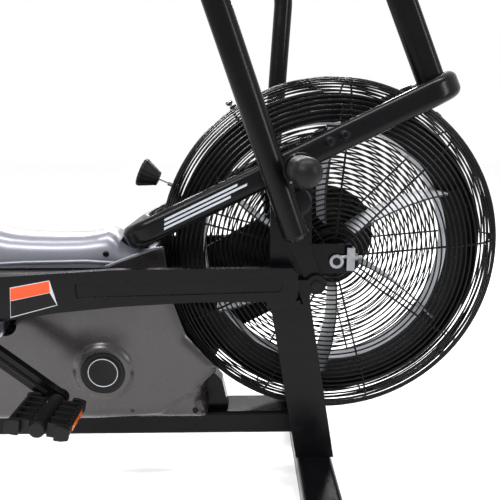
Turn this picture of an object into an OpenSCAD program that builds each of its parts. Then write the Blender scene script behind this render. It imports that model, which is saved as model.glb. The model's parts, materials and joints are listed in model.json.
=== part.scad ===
// Air bike: a fan bike with moving arms, cranks, a two-stage belt drive and an adjustable saddle.
// +X points to the fan end, +Y to the rider's left, +Z up. Every piece is drawn around the fan
// axle and then moved to its place over the floor by at_fan().

/* [Fan and cage] */
// Height of the fan axle above the floor
fan_z = 470; // [465:1:475]
// Radius of the cage over its rim
cage_r = 343; // [340:1:343]
// Half depth of the cage
cage_half = 83; // [80:1:84]
// Radius of the curve between the cage's face and its rim
cage_bend = 75; // [70:1:76]
// Spacing of the cage's rings
ring_pitch = 9.5; // [9:0.1:12]
// Radius of the ring wire
ring_wire = 1.7; // [1.4:0.1:2]
// Radius of the spoke wire
spoke_wire = 2; // [1.6:0.1:2.2]
// Number of spokes in each half of the cage
spoke_count = 9; // [8:1:12]
// Number of fan blades
blade_count = 6; // [5:1:8]
// Width of a blade along the axle
blade_chord = 112; // [90:1:116]
// Outer radius of the fan's rim
fan_r = 313; // [305:1:315]

/* [Frame] */
// Width of the base rail
rail_w = 80; // [70:1:84]
// Height of the base rail's top face above the floor
rail_top = 121; // [118:1:121]
// Inner face of the two legs, from the middle of the bike
leg_in = 104; // [104:1:106]
// Thickness of a leg
leg_t = 20; // [18:1:20]
// Slope of the yoke's arms from the horizontal
yoke_slope = 25.7; // [25:0.1:26.5]
// Height of the yoke's flat-oval tube
yoke_h = 47; // [44:1:48]
// Thickness of the yoke's flat-oval tube
yoke_t = 30; // [26:1:30]
// Length of the front and rear stabilizers
stabilizer_l = 640; // [600:1:660]

/* [Arms] */
// Distance of each arm's tube from the middle of the bike
arm_y = 225; // [222:1:230]
// Diameter of the arm tube
arm_d = 42; // [38:1:42]
// Backward lean of the right arm at rest
right_lean = 19.4; // [19:0.1:20]
// Angle from the right arm forward to the left arm at rest
arm_spread = 23.3; // [22:0.1:24]

/* [Drive] */
// Length of a crank arm between its axes
crank_l = 170; // [165:1:172]
// Angle of the right crank arm below the forward direction
crank_down = 39.6; // [35:0.1:45]
// Throw of the eccentric that drives a link
throw = 34; // [32:1:34]

/* [Saddle] */
// Height of the saddle's top above the floor
saddle_top = 880; // [870:1:890]

/* [Hidden] */
$fn = 48;
// Puts the middle of the bike's length at X = 0
fan_x = 334.87;

// Colours
frame_black = [0.12, 0.12, 0.13];
wire_black = [0.06, 0.06, 0.065];
gunmetal = [0.33, 0.31, 0.315];
cover_grey = [0.55, 0.55, 0.58];
rubber_black = [0.07, 0.07, 0.075];
zinc = [0.72, 0.72, 0.74];
blade_grey = [0.62, 0.62, 0.64];

// Floor and base, as heights from the fan axle
floor_z = -fan_z;
rail_z = rail_top - fan_z;
rail_h = 50;
tube_wall = 3;
rail_bottom = rail_z - rail_h;
stab_h = 50;
stab_w = 70;
front_stab_x = -33;
rear_stab_x = -972;
foot_h = rail_bottom - stab_h - floor_z;

// Leg edges: a straight upright above bend_z, then a slope forward down to the front stabilizer
leg_back = -124;
leg_front = -49;
leg_bend_z = -72;
leg_shift = 54;
leg_out = leg_in + leg_t;
yoke_y = 109;
yoke_front = 205;
yoke_rear = -385;

// Arm pivot, from the fan axle; the arm's own frame has its origin at the pivot
pivot_x = -85;
pivot_z = 122;
pivot_r = 10;
lever_x = -11.3;
lever_z = -164.6;
arm_back = -21;
arm_straight = 400;
arm_bend_r = 130;
arm_bend = 34;
// How far a bend stands out past the straight tubes that it joins
weld = 0.02;
arm_upper = 190;
grip_l = 150;

// Link and side rail layers, from the middle of the bike outwards
lever_in = leg_out + 2;
lever_t = 7;
link_in = lever_in + lever_t + 1.5;
link_t = 9;
head_t = 4.5;
side_in = link_in + link_t + head_t + 1.5;
side_t = 14;
crank_in = side_in + side_t + 2.5;
crank_t = 14;

// Drive axes, from the fan axle
crank_x = -640;
crank_z = -131;
jack_x = -452;
jack_z = -231;
big_pulley_r = 78;
small_pulley_r = 24;
jack_pulley_r = 90;
fan_pulley_r = 25;
belt_t = 4;
belt_y = 26;
belt_w = 12;
fan_belt_y = 89.5;
fan_belt_w = 10;
shroud_half = 84;

// Seat tube line, from the base rail up and back
seat_lean = 9;
seat_foot_x = -775;
seat_tube_l = 500;

module at_fan() { translate([fan_x, 0, fan_z]) children(); }

// Both sides of the bike from one side's shape; s = -1 is the rider's right
module side(s) { if (s < 0) children(); else mirror([0, 1, 0]) children(); }

// A cylinder along Y between two distances
module along_y(r, y0, y1) { translate([0, y0, 0]) rotate([-90, 0, 0]) cylinder(r = r, h = y1 - y0); }

// A tube along Y with the given inner and outer radius
module along_y_ring(r_in, r_out, y0, y1) {
  difference() {
    along_y(r_out, y0, y1);
    along_y(r_in, y0 - 1, y1 + 1);
  }
}

// A flat plate drawn in X-Z and given a thickness from y0 to y1
module plate(y0, y1) { translate([0, y1, 0]) rotate([90, 0, 0]) linear_extrude(y1 - y0) children(); }

// Two round ends joined by a straight bar, in two dimensions
module bar(a, b, r) {
  d = b - a;
  translate(a) circle(r);
  translate(b) circle(r);
  translate(a) rotate(atan2(d[1], d[0])) translate([0, -r]) square([norm(d), 2 * r]);
}

// A flat-oval section: height h along Y, thickness t along X
module oval(h, t) {
  square([t, h - t], center = true);
  for (s = [-1, 1]) translate([0, s * (h - t) / 2]) circle(t / 2);
}

// A rectangle with round corners, in two dimensions, centred
module round_rect(x, y, r) {
  square([x - 2 * r, y], center = true);
  square([x, y - 2 * r], center = true);
  for (i = [-1, 1], j = [-1, 1]) translate([i * (x / 2 - r), j * (y / 2 - r)]) circle(r);
}

// A rounded box with straight-cornered ends: corners of radius r about the Z axis
module round_box(x, y, z, r) {
  linear_extrude(z) round_rect(x, y, r);
}

// ---------------------------------------------------------------- base and frame
rail_rear = -1000;
rail_front = front_stab_x + stab_w / 2;

module base_rail() {
  color(frame_black) at_fan() translate([rail_rear, 0, rail_bottom + rail_h / 2]) rotate([90, 0, 90])
    linear_extrude(rail_front - rail_rear) difference() {
      round_rect(rail_w, rail_h, 8);
      round_rect(rail_w - 2 * tube_wall, rail_h - 2 * tube_wall, 8 - tube_wall);
    }
}

// The two cross feet are round-cornered tubes under the rail, closed by caps
module stabilizer(x) {
  translate([x, 0, rail_bottom - stab_h / 2]) rotate([90, 0, 0])
    linear_extrude(stabilizer_l - 16, center = true) round_rect(stab_w, stab_h, 10);
}
module stabilizer_room(x) {
  translate([x, 0, rail_bottom - stab_h / 2]) rotate([90, 0, 0])
    linear_extrude(stabilizer_l, center = true)
      round_rect(stab_w - 2 * tube_wall, stab_h - 2 * tube_wall, 10 - tube_wall);
}

module front_stabilizer() {
  color(frame_black) at_fan() {
    difference() {
      union() {
        stabilizer(front_stab_x);
        for (s = [-1, 1], k = [-1, 1]) wheel_ear(s, k);
      }
      stabilizer_room(front_stab_x);
    }
    // Axle pins of the two wheels, between the ears
    for (s = [-1, 1]) translate([wheel_x, s * wheel_y, wheel_z]) along_y(4, -20, 20);
  }
}

wheel_r = 22;
wheel_w = 24;
wheel_x = front_stab_x + stab_w / 2 + wheel_r + 2;
wheel_y = 250;
wheel_z = floor_z + wheel_r + 4;
ear_t = 5;

// One ear of a transport wheel's fork
module wheel_ear(s, k) {
  y = s * wheel_y + k * (wheel_w / 2 + 1.5 + ear_t / 2);
  plate(y - ear_t / 2, y + ear_t / 2)
    bar([front_stab_x + stab_w / 2 - 12, wheel_z + 8], [wheel_x, wheel_z], 10);
}

module wheel(s) {
  color(rubber_black) at_fan() translate([wheel_x, s * wheel_y, wheel_z])
    rotate([90, 0, 0]) rotate_extrude() {
      translate([4.1, -wheel_w / 2]) square([wheel_r - 10, wheel_w]);
      translate([wheel_r - 8, -wheel_w / 2 + 6]) square([8, wheel_w - 12]);
      for (k = [-1, 1]) translate([wheel_r - 6, k * (wheel_w / 2 - 6)]) circle(6);
    }
}
module right_wheel() { wheel(-1); }
module left_wheel() { wheel(1); }

module rear_stabilizer() {
  color(frame_black) at_fan() difference() {
    stabilizer(rear_stab_x);
    stabilizer_room(rear_stab_x);
    for (s = [-1, 1]) translate([rear_stab_x, s * foot_y, rail_bottom - stab_h - 1])
      cylinder(r = 5.05, h = 30);
  }
}

foot_y = 270;
foot_r = 24;

// Levelling foot: a rubber-shod disc on a threaded stem
module foot(s) {
  color(rubber_black) at_fan() translate([rear_stab_x, s * foot_y, floor_z]) {
    cylinder(r1 = foot_r, r2 = foot_r - 3, h = foot_h - 4);
    cylinder(r = 5, h = foot_h + 20);
  }
}
module right_foot() { foot(-1); }
module left_foot() { foot(1); }

// End caps close both stabilizers; the front pair carries fixed pads down to the floor
module stabilizer_caps() {
  color(rubber_black) at_fan() for (x = [front_stab_x, rear_stab_x], s = [-1, 1])
    translate([x, s * (stabilizer_l / 2 - 4), rail_bottom - stab_h]) {
      translate([0, 0, -0.01]) round_box(stab_w + 2, 8, stab_h + 1, 3.9);
      if (x == front_stab_x) translate([0, -s * 26, floor_z - rail_bottom + stab_h]) {
        cylinder(r = 20, h = foot_h - 0.01);
      }
    }
}

// Outline of a leg, upright from the yoke and then sloping forward to the front stabilizer
module leg_outline() {
  top = 150;
  polygon([[leg_back, top + 3], [leg_back, leg_bend_z], [leg_back + leg_shift, rail_bottom],
    [leg_front + leg_shift, rail_bottom], [leg_front, leg_bend_z], [leg_front, top + 36]]);
}

axle_r = 7;
module leg() {
  difference() {
    union() {
      plate(-leg_out, -leg_in) leg_outline();
      plate(-leg_in - 5, -leg_in) translate([leg_front - 10, -24]) square([88, 56]);
      translate([pivot_x, 0, pivot_z]) along_y(22, -leg_out - 0.5, -leg_out + 1);
    }
    translate([pivot_x, 0, pivot_z]) along_y(pivot_r, -leg_out - 1, -leg_in + 1);
    along_y(axle_r + 0.05, -leg_in - 6, -leg_in + 1);
    yoke_body();
  }
}
module right_leg() { color(frame_black) at_fan() side(-1) leg(); }
module left_leg() { color(frame_black) at_fan() side(1) leg(); }

// Side rail: a flat tube with a pressed groove, set outside the link rod, from the leg to the rear
rail_top_z = 0;
rail_low_z = -62;
rail_end_x = -790;
module side_rail_outline() {
  polygon([[-88, rail_top_z], [-400, -2], [-590, -13], [rail_end_x, -30], [rail_end_x, -95],
    [-660, -93], [-590, -89], [-400, -70], [-260, rail_low_z], [-84, rail_low_z], [-77, -54],
    [-77, -11]]);
}
groove_front = -115;
groove_rear = -470;
groove_t = 3;
module side_rail() {
  outer = -side_in - side_t;
  plate(outer + groove_t, -side_in) side_rail_outline();
  plate(outer, outer + groove_t) difference() {
    side_rail_outline();
    bar([groove_front, -30.5], [groove_rear, -40], 13.5);
  }
  // Bottom bracket that joins the rail's front end to the leg, low enough to clear the lever
  plate(outer, -side_in) translate([-132, rail_low_z - 13]) square([60, 15]);
  plate(outer, -leg_out) translate([-132, rail_low_z - 13]) square([66, 8]);
}
module right_side_rail() { color(frame_black) at_fan() side(-1) side_rail(); }
module left_side_rail() { color(frame_black) at_fan() side(1) side_rail(); }

// ---------------------------------------------------------------- yoke, neck and mast
yoke_x0 = -145.5;
yoke_z0 = 154;
yoke_bend = 48;
front_s = (yoke_front - yoke_x0) / cos(yoke_slope);
rear_s = (yoke_rear - yoke_x0) / cos(yoke_slope);

// Work in the plane of the yoke: X runs up the slope, Z is square to it
module in_yoke() { translate([yoke_x0, 0, yoke_z0]) rotate([0, -yoke_slope, 0]) children(); }

// A closed flat-oval hoop round the cage: two side tubes, two cross tubes and four bends
module yoke_body() {
  in_yoke() {
    for (s = [-1, 1]) {
      translate([rear_s + yoke_bend, s * yoke_y, 0]) rotate([90, 0, 90])
        linear_extrude(front_s - rear_s - 2 * yoke_bend) oval(yoke_h, yoke_t);
      translate([s > 0 ? front_s : rear_s, yoke_y - yoke_bend, 0]) rotate([90, 0, 0])
        linear_extrude(2 * (yoke_y - yoke_bend)) oval(yoke_h, yoke_t);
      translate([front_s - yoke_bend, s * (yoke_y - yoke_bend), 0]) rotate([0, 0, s > 0 ? 0 : -90])
        rotate_extrude(angle = 90) translate([yoke_bend, 0]) oval(yoke_h, yoke_t);
      translate([rear_s + yoke_bend, s * (yoke_y - yoke_bend), 0]) rotate([0, 0, s > 0 ? 90 : 180])
        rotate_extrude(angle = 90) translate([yoke_bend, 0]) oval(yoke_h, yoke_t);
    }
  }
}

module head_yoke() { color(frame_black) at_fan() yoke_body(); }

// Neck: a stout tube from the spine up into the rear of the yoke, with clamp ears
module neck_post() {
  color(frame_black) at_fan() difference() {
    plate(-30, 30) polygon([[-440, -40], [-372, -28], [-362, 20], [-392, 58], [-418, 26]]);
    yoke_body();
  }
}

mast_lean = 24;
mast_l = 352;
mast_foot_x = 199;
mast_foot_z = 328;
module mast_body(grow, extra) {
  translate([mast_foot_x, 0, mast_foot_z]) rotate([0, -mast_lean, 0]) rotate([0, 0, 90])
    linear_extrude(mast_l + extra) oval(54 + 2 * grow, 34 + 2 * grow);
}
module console_mast() {
  color(frame_black) at_fan() difference() {
    mast_body(0, 14);
    mast_body(-tube_wall, 20);
    yoke_body();
  }
}

// ---------------------------------------------------------------- console
console_w = 190;
console_h = 150;
console_d = 34;
console_tilt = 62;
// The console's own frame: X across the bike, Y up its face, Z out of the face to the rider
module in_console() {
  translate([mast_foot_x, 0, mast_foot_z]) rotate([0, -mast_lean, 0])
    translate([0, 0, mast_l]) rotate([0, mast_lean - console_tilt, 0]) rotate([0, 0, -90]) children();
}
button_xs = [-52, 0, 52];
button_y = -50;
module console_housing() {
  color(rubber_black) at_fan() difference() {
    in_console() translate([0, 24, 0]) round_box(console_w, console_h, console_d, 22);
    in_console() translate([0, 38, console_d - 3]) round_box(150, 84, 5, 6);
    for (x = button_xs) in_console() translate([x, button_y + 24, console_d - 6])
      cylinder(r = 10.3, h = 10);
    mast_body(0.3, 20);
  }
}
module console_screen() {
  color([0.2, 0.25, 0.24]) at_fan() in_console()
    translate([0, 38, console_d - 3]) round_box(149.4, 83.4, 2.4, 5.7);
}
module button(x) {
  color([0.4, 0.4, 0.42]) at_fan() in_console()
    translate([x, button_y + 24, console_d - 3.5]) cylinder(r = 10, h = 6);
}
module start_button() { button(button_xs[0]); }
module mode_button() { button(button_xs[1]); }
module stop_button() { button(button_xs[2]); }

// ---------------------------------------------------------------- inner frame and seat tube
module frame_spine() {
  color(frame_black) at_fan() difference() {
    union() {
      // Bottom tube from the base rail up to the neck, and the long tube back to the seat tube
      plate(-18, 18) polygon([[-246, rail_z], [-206, rail_z], [-219, -287], [-260, -240],
        [-395, -40], [-438, -40], [-300, -240], [-258, -287]]);
      plate(-18, 18) polygon([[-440, -40], [-372, -28], [-385, -75], [-800, -75], [-800, -40]]);
      // Cross tube that carries the rear ends of the side rails
      translate([rail_end_x + 21, 0, -62]) along_y(20, -side_in, side_in);
      // Bearing carriers for the crank and the jackshaft
      translate([crank_x, 0, crank_z]) along_y(30, -34, 18);
      plate(-18, 18) polygon([[crank_x - 22, -60], [crank_x + 22, -60], [crank_x + 26, crank_z],
        [crank_x - 26, crank_z]]);
      translate([jack_x, 0, jack_z]) along_y(26, -30, 18);
      plate(-18, 18) polygon([[jack_x - 18, jack_z], [jack_x + 18, jack_z], [jack_x + 24, rail_z],
        [jack_x - 24, rail_z]]);
      plate(-18, 18) polygon([[jack_x, jack_z - 12], [jack_x, jack_z + 12], [-300, jack_z + 12],
        [-300, jack_z - 12]]);
    }
    translate([crank_x, 0, crank_z]) along_y(21, -40, 30);
    translate([jack_x, 0, jack_z]) along_y(17.5, -40, 30);
    seat_tube_body(0);
  }
}

module in_seat_tube() { translate([seat_foot_x, 0, rail_z]) rotate([0, -seat_lean, 0]) children(); }

module seat_tube_body(z0) { in_seat_tube() translate([0, 0, z0]) round_box(60, 44, seat_tube_l, 10); }

pin_hole_z = 455;
seat_travel = 125;
module seat_tube() {
  color(frame_black) at_fan() difference() {
    union() {
      seat_tube_body(-20);
      in_seat_tube() translate([26, 0, pin_hole_z]) rotate([0, 90, 0]) cylinder(r = 13, h = 18);
    }
    in_seat_tube() translate([0, 0, 40]) round_box(50.6, 34.6, seat_tube_l, 6.3);
    in_seat_tube() translate([20, 0, pin_hole_z]) rotate([0, 90, 0]) cylinder(r = 5.05, h = 40);
    translate([-1200, -100, rail_z - 200]) cube([800, 200, 200]);
  }
}

post_out = 150;
post_l = 370;
post_top = seat_tube_l + post_out;
module seat_post() {
  color(frame_black) at_fan() in_seat_tube() difference() {
    union() {
      translate([0, 0, post_top - post_l]) round_box(50, 34, post_l, 6);
      translate([0, 0, post_top]) rotate([0, seat_lean, 0]) translate([-74, -22, -6])
        cube([140, 44, 12]);
    }
    // Shallow track for the height pin, with a row of holes in its floor
    translate([19.4, -5.2, pin_hole_z - 5.2]) cube([10, 10.4, seat_travel + 10.4]);
    for (i = [0:5]) translate([12, 0, pin_hole_z + seat_travel / 5 * i]) rotate([0, 90, 0])
      cylinder(r = 4.6, h = 10);
  }
}

// Sprung pull pin that locks the seat post
module seat_pin() {
  color(rubber_black) at_fan() in_seat_tube() translate([0, 0, pin_hole_z]) rotate([0, 90, 0]) {
    translate([0, 0, 20]) cylinder(r = 5, h = 30);
    translate([0, 0, 46]) cylinder(r1 = 12, r2 = 17, h = 16);
    translate([0, 0, 62]) cylinder(r1 = 17, r2 = 13, h = 6);
  }
}

// Where the post's top plate ends, in the fan frame
seat_x = seat_foot_x - post_top * sin(seat_lean) - 4;
seat_z = rail_z + post_top * cos(seat_lean) + 6;

module seat_slider() {
  color(frame_black) at_fan() translate([seat_x, 0, seat_z]) {
    difference() {
      union() {
        translate([-95, -28, 0.2]) cube([190, 56, 14]);
        for (s = [-1, 1]) translate([-95, s * 25.2 - 2.8, -14]) cube([190, 5.6, 14.3]);
      }
      translate([0, -60, -7]) rotate([-90, 0, 0]) cylinder(r = 5.05, h = 40);
    }
    translate([0, 0, 14]) cylinder(r = 16, h = 22);
  }
}

module slider_knob() {
  color(rubber_black) at_fan() translate([seat_x, 0, seat_z - 7]) {
    along_y(5, -48, -22.2);
    along_y(17, -66, -46);
    for (a = [0:60:300]) rotate([0, a, 0]) translate([16, 0, 0]) along_y(6, -64, -48);
  }
}

// Plain stand-in for the padded saddle: nose forward, wide at the rear
module saddle() {
  color(rubber_black) at_fan() translate([seat_x, 0, seat_z + 36.2]) {
    linear_extrude(saddle_top - fan_z - seat_z - 36.2 - 6) {
      translate([-75, 55]) circle(60);
      translate([-75, -55]) circle(60);
      translate([110, 0]) circle(34);
      polygon([[-135, 55], [-135, -55], [-75, -115], [0, -88], [60, -46], [110, -34], [110, 34],
        [60, 46], [0, 88], [-75, 115]]);
    }
  }
}

// ---------------------------------------------------------------- shrouds
// Clearance body round the cage, cut out of the covers
module cage_room() {
  rotate([90, 0, 0]) rotate_extrude() polygon([[0, -92], [292, -92], [330, -72], [351, -30],
    [351, 30], [330, 72], [292, 92], [0, 92]]);
}

shroud_points = [[-318, -26], [-302, -80], [-280, -156], [-213, -224], [-222, -240], [-251, -269],
  [-258, -300], [-246, -346], [-700, -346], [-738, -312], [-744, -180], [-738, -26]];
// Sides of the neck, above the main shell
fairing_points = [[-318, -40], [-324, 22], [-352, 16], [-438, -16], [-440, -40]];
fairing_y = [62.4, 74];
shroud_mid = [-500, -170];
shroud_wall = 3;
module shroud_room() {
  plate(-shroud_half + shroud_wall, 1)
    polygon([for (p = shroud_points) shroud_mid + (p - shroud_mid) * 0.965]);
}

// Room for the frame where it passes out of the covers
module frame_room() {
  plate(-19, 19) polygon([[-264, rail_z], [-202, rail_z], [-215, -286], [-257, -238],
    [-345, -108], [-390, -108], [-306, -242], [-264, -290]]);
  plate(-19, 19) polygon([[jack_x - 28, rail_z], [jack_x + 28, rail_z], [jack_x + 22, jack_z],
    [jack_x - 22, jack_z]]);
  plate(-31, 31) polygon([[-446, -60], [-364, -60], [-364, 8], [-385, 70], [-430, 70], [-446, 20]]);
  plate(-19, 19) polygon([[-800, -34], [-800, -80], [-700, -80], [-700, -34]]);
  in_seat_tube() translate([0, 0, -30]) round_box(62, 46, seat_tube_l, 10);
}
module shroud() {
  difference() {
    union() {
      plate(-shroud_half, -0.3) polygon(shroud_points);
      plate(-fairing_y[1], -fairing_y[0]) polygon(fairing_points);
    }
    shroud_room();
    cage_room();
    translate([crank_x, 0, crank_z]) along_y(24, -120, 0);
    frame_room();
  }
}
// The right cover has a low round boss over the jackshaft
module right_shroud() {
  color(gunmetal) at_fan() {
    side(-1) shroud();
    translate([jack_x, -shroud_half, jack_z]) rotate([90, 0, 0]) cylinder(r1 = 62, r2 = 52, h = 8);
  }
}
module left_shroud() {
  color(gunmetal) at_fan() difference() {
    side(1) shroud();
    translate([jack_x, 0, jack_z]) along_y(24, 0, 120);
  }
}

// Long cover over the spine, from under the yoke back to the seat tube
cover_points = [[-334, -24], [-334, 4], [-350, 9], [-402, 9], [-418, 22], [-430, 47], [-480, 38],
  [-620, 40], [-700, 58], [-736, 60], [-742, -24]];
cover_mid = [-540, -24];
module top_cover() {
  color(cover_grey) at_fan() difference() {
    plate(-62, 62) polygon(cover_points);
    plate(-59, 59) polygon([for (p = cover_points)
      cover_mid + [(p[0] - cover_mid[0]) * 0.98, (p[1] - cover_mid[1]) * 0.9 - 0.5]]);
    cage_room();
    frame_room();
  }
}

// Closed guard over the second belt, on the rider's left
guard_in = 86.3;
guard_out = 102.7;
guard_wall = 1.5;
module guard_outline(grow) {
  translate([7.5, 13.7]) circle(110 + grow);
  loop2d([jack_x, jack_z], 100 + grow, [0, 0], 40 + grow);
}
module belt_guard() {
  color(rubber_black) at_fan() difference() {
    plate(guard_in, guard_out) guard_outline(0);
    plate(guard_in + guard_wall, guard_out - guard_wall) guard_outline(-2);
    along_y(26, guard_in - 1, guard_in + 3);
    along_y(12, guard_out - 3, guard_out + 1);
    translate([jack_x, 0, jack_z]) along_y(18, guard_in - 1, guard_in + 3);
  }
}

// ---------------------------------------------------------------- cage
face_r = cage_r - ring_wire - cage_bend;
ring_first = 38;
disc_r = 29.2;
spoke_first = 5;
face_rings = floor((face_r - ring_first) / ring_pitch);
arc_rings = floor(cage_bend * PI / 2 / ring_pitch);
wire_y = cage_half - ring_wire;
bend_y = wire_y - cage_bend;
spoke_in = ring_wire + spoke_wire + 0.1;
rim_wire = 2.8;

// A hoop of wire round the axle, eight-sided so that the many hoops stay light
wire_sides = 8;
module ring(r, y, wire) {
  translate([0, y, 0]) rotate([90, 0, 0]) rotate_extrude() translate([r, 0])
    circle(wire, $fn = wire_sides);
}

module grille() {
  for (i = [0:face_rings]) ring(face_r - ring_pitch * i, -wire_y, ring_wire);
  for (i = [1:arc_rings]) {
    a = i * ring_pitch / cage_bend * 180 / PI;
    if (a < 84) ring(face_r + cage_bend * sin(a), -bend_y - cage_bend * cos(a), ring_wire);
  }
  ring(cage_r - rim_wire, -bend_y - 1.6, rim_wire);
  // Small disc that closes the middle round the axle
  along_y_ring(24, disc_r, -wire_y + spoke_in - 1, -wire_y + spoke_in + 1);
  for (i = [0:spoke_count - 1]) rotate([0, -spoke_first - i * 360 / spoke_count, 0]) {
    translate([disc_r + 0.2, -wire_y + spoke_in, 0]) rotate([0, 90, 0])
      cylinder(r = spoke_wire, h = face_r - disc_r - 0.2);
    translate([face_r, -bend_y, 0]) rotate([0, 0, -90])
      rotate_extrude(angle = 86) translate([cage_bend - spoke_in, 0]) circle(spoke_wire);
  }
}
module right_grille() { color(wire_black) at_fan() side(-1) grille(); }
module left_grille() { color(wire_black) at_fan() side(1) grille(); }

// Clips that hold the two halves of the cage together at the rim
module rim_clips() {
  color(rubber_black) at_fan() for (a = [4, 52, 124, 197, 240, 318]) rotate([0, -a, 0])
    translate([cage_r + 0.3, -11, -7]) cube([3, 22, 14]);
}

// ---------------------------------------------------------------- fan
hub_in = -62;
hub_out = 100;
module fan_hub() {
  color(frame_black) at_fan() difference() {
    union() {
      along_y(32, hub_in, 62);
      along_y(98, 57, 60);
      along_y(52, -58, -55);
      along_y(20, 61, hub_out);
      along_y(fan_pulley_r, fan_belt_y, fan_belt_y + fan_belt_w);
    }
    along_y(axle_r + 0.06, hub_in - 1, hub_out + 1);
  }
}

ring_y = 15;
ring_in = 253;
blade_t = 3;
blade_near = -54.9;
// Each blade is bent to an arc about this centre, given for the first blade
blade_centre = [309.6, -321.6];
blade_curve = 448;

// Section of the first blade's sheet between two radii from the axle
module blade_section(r0, r1) {
  intersection() {
    difference() {
      translate(blade_centre) circle(blade_curve + blade_t / 2, $fn = 240);
      translate(blade_centre) circle(blade_curve - blade_t / 2, $fn = 240);
    }
    difference() {
      circle(r1, $fn = 180);
      circle(r0, $fn = 180);
    }
    square(400);
  }
}

// The rim: a flat ring with a lip on both edges, and a tapered gusset in line with each blade
module fan_ring() {
  color(frame_black) at_fan() {
    rotate([90, 0, 0]) rotate_extrude() {
      translate([ring_in, -ring_y - 3]) square([fan_r - ring_in, 3]);
      translate([ring_in, -ring_y - 36]) square([3, 36]);
      translate([fan_r - 3, -ring_y - 3]) square([3, 28]);
    }
    for (i = [0:blade_count - 1]) rotate([0, i * 360 / blade_count, 0]) intersection() {
      plate(-52, ring_y + 1) blade_section(ring_in + 1, fan_r - 6);
      rotate([90, 0, 0]) rotate_extrude()
        polygon([[ring_in - 1, 50], [fan_r - 8, -ring_y - 0.5], [fan_r - 8, -ring_y - 2],
          [ring_in - 1, -ring_y - 2]]);
    }
  }
}

// Curved paddle blades between the hub discs and the rim
module fan_blades() {
  color(blade_grey) at_fan() for (i = [0:blade_count - 1]) rotate([0, i * 360 / blade_count, 0])
    plate(blade_near, blade_near + blade_chord - 0.2) blade_section(62, ring_in - 1);
}

module fan_axle() { color(frame_black) at_fan() along_y(axle_r, -leg_in - 14, leg_in + 14); }

// Eyebolt tensioner on each end of the axle: an eye, a threaded shank, an angle plate and a nut
tension_z = 8.5;
tension_y = -leg_in - 9.5;
module tensioner() {
  difference() {
    union() {
      along_y(13.2, tension_y - 2.5, tension_y + 2.5);
      translate([8, tension_y, tension_z]) rotate([0, 90, 0]) cylinder(r = 2.9, h = 39.5);
    }
    along_y(axle_r + 0.5, tension_y - 4, tension_y + 4);
  }
}
module tension_plate() {
  difference() {
    translate([17.7, tension_y - 8, -16]) cube([14.9, 16, 43]);
    translate([16, tension_y - 5.5, -17]) cube([13.6, 20, 45]);
    translate([20, tension_y, tension_z]) rotate([0, 90, 0]) cylinder(r = 3.1, h = 30);
  }
}
module tension_nut() {
  difference() {
    translate([32.8, tension_y, tension_z]) rotate([0, 90, 0]) cylinder(r = 7, h = 6, $fn = 6);
    translate([30, tension_y, tension_z]) rotate([0, 90, 0]) cylinder(r = 3.1, h = 20);
  }
}
module axle_hardware() {
  color(zinc) at_fan() for (s = [-1, 1]) side(s) {
    tensioner();
    tension_plate();
    tension_nut();
  }
}

// ---------------------------------------------------------------- arms
// Fixed pins that the arms swing on
module arm_pivot_pins() {
  color(zinc) at_fan() for (s = [-1, 1]) side(s) translate([pivot_x, 0, pivot_z]) {
    along_y(pivot_r - 0.02, -arm_y + 22, -leg_in - 4);
  }
}

// Hub, tube, bend and lever of one arm, standing upright about its pivot
hub_r = 24;
module arm_shape() {
  difference() {
    union() {
      along_y(hub_r, -arm_y + 18, -leg_out - 2.5);
      translate([arm_back, -arm_y, -46]) cylinder(d = arm_d, h = arm_straight + 46);
      translate([arm_back - arm_bend_r, -arm_y, arm_straight]) rotate([90, 0, 0])
        rotate_extrude(angle = arm_bend) translate([arm_bend_r, 0]) circle(d = arm_d + weld);
      translate([arm_back - arm_bend_r, -arm_y, arm_straight]) rotate([0, -arm_bend, 0])
        translate([arm_bend_r, 0, 0]) cylinder(d = arm_d, h = arm_upper);
      translate([arm_back, -arm_y, -54]) cylinder(r1 = arm_d / 2 - 7, r2 = arm_d / 2 - 0.5, h = 8.5);
      // Block that carries the lever in from the tube, and the lever itself
      translate([arm_back - 14, -arm_y, -44]) cube([28, arm_y - lever_in - 2, 30]);
      plate(-lever_in - lever_t, -lever_in) polygon([[arm_back - 17, -14], [arm_back - 17, -50],
        [lever_x - 15, lever_z], [lever_x + 15, lever_z], [arm_back + 19, -50],
        [arm_back + 19, -14]]);
      plate(-lever_in - lever_t, -lever_in) translate([lever_x, lever_z]) circle(17);
      // Plate that carries the foot peg
      plate(-arm_y + 5, -arm_y + 11) polygon([[arm_back, peg_z - 24], [peg_x + 4, peg_z - 16],
        [peg_x + 16, peg_z - 8], [peg_x + 16, peg_z + 8], [peg_x + 4, peg_z + 16],
        [arm_back, peg_z + 24]]);
    }
    along_y(pivot_r + 0.04, -arm_y + 21.5, -leg_out);
    translate([lever_x, 0, lever_z]) along_y(6.05, -link_in - 20, -leg_out);
    translate([peg_x, 0, peg_z]) along_y(9.02, -arm_y - 10, -arm_y + 20);
  }
}

// Foot peg: a steel stub with a flange and a domed rubber sleeve
peg_x = 16.5;
peg_z = 53;
peg_r = 22;
peg_reach = 105;
module peg_shape() {
  translate([peg_x, 0, peg_z]) {
    along_y(9, -arm_y - 30, -arm_y + 14);
    along_y(26, -arm_y - 27, -arm_y - 21.5);
    along_y(peg_r, -arm_y - peg_reach, -arm_y - 27);
    translate([0, -arm_y - peg_reach, 0]) sphere(peg_r);
  }
}
// Places an arm piece: s is the side, the left arm stands further forward
module at_pivot(s) {
  side(s) translate([pivot_x, 0, pivot_z]) rotate([0, s < 0 ? -right_lean : arm_spread - right_lean, 0])
    children();
}
module arm(s) {
  color(frame_black) at_fan() at_pivot(s) arm_shape();
}
module right_arm() { arm(-1); }
module left_arm() { arm(1); }

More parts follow.
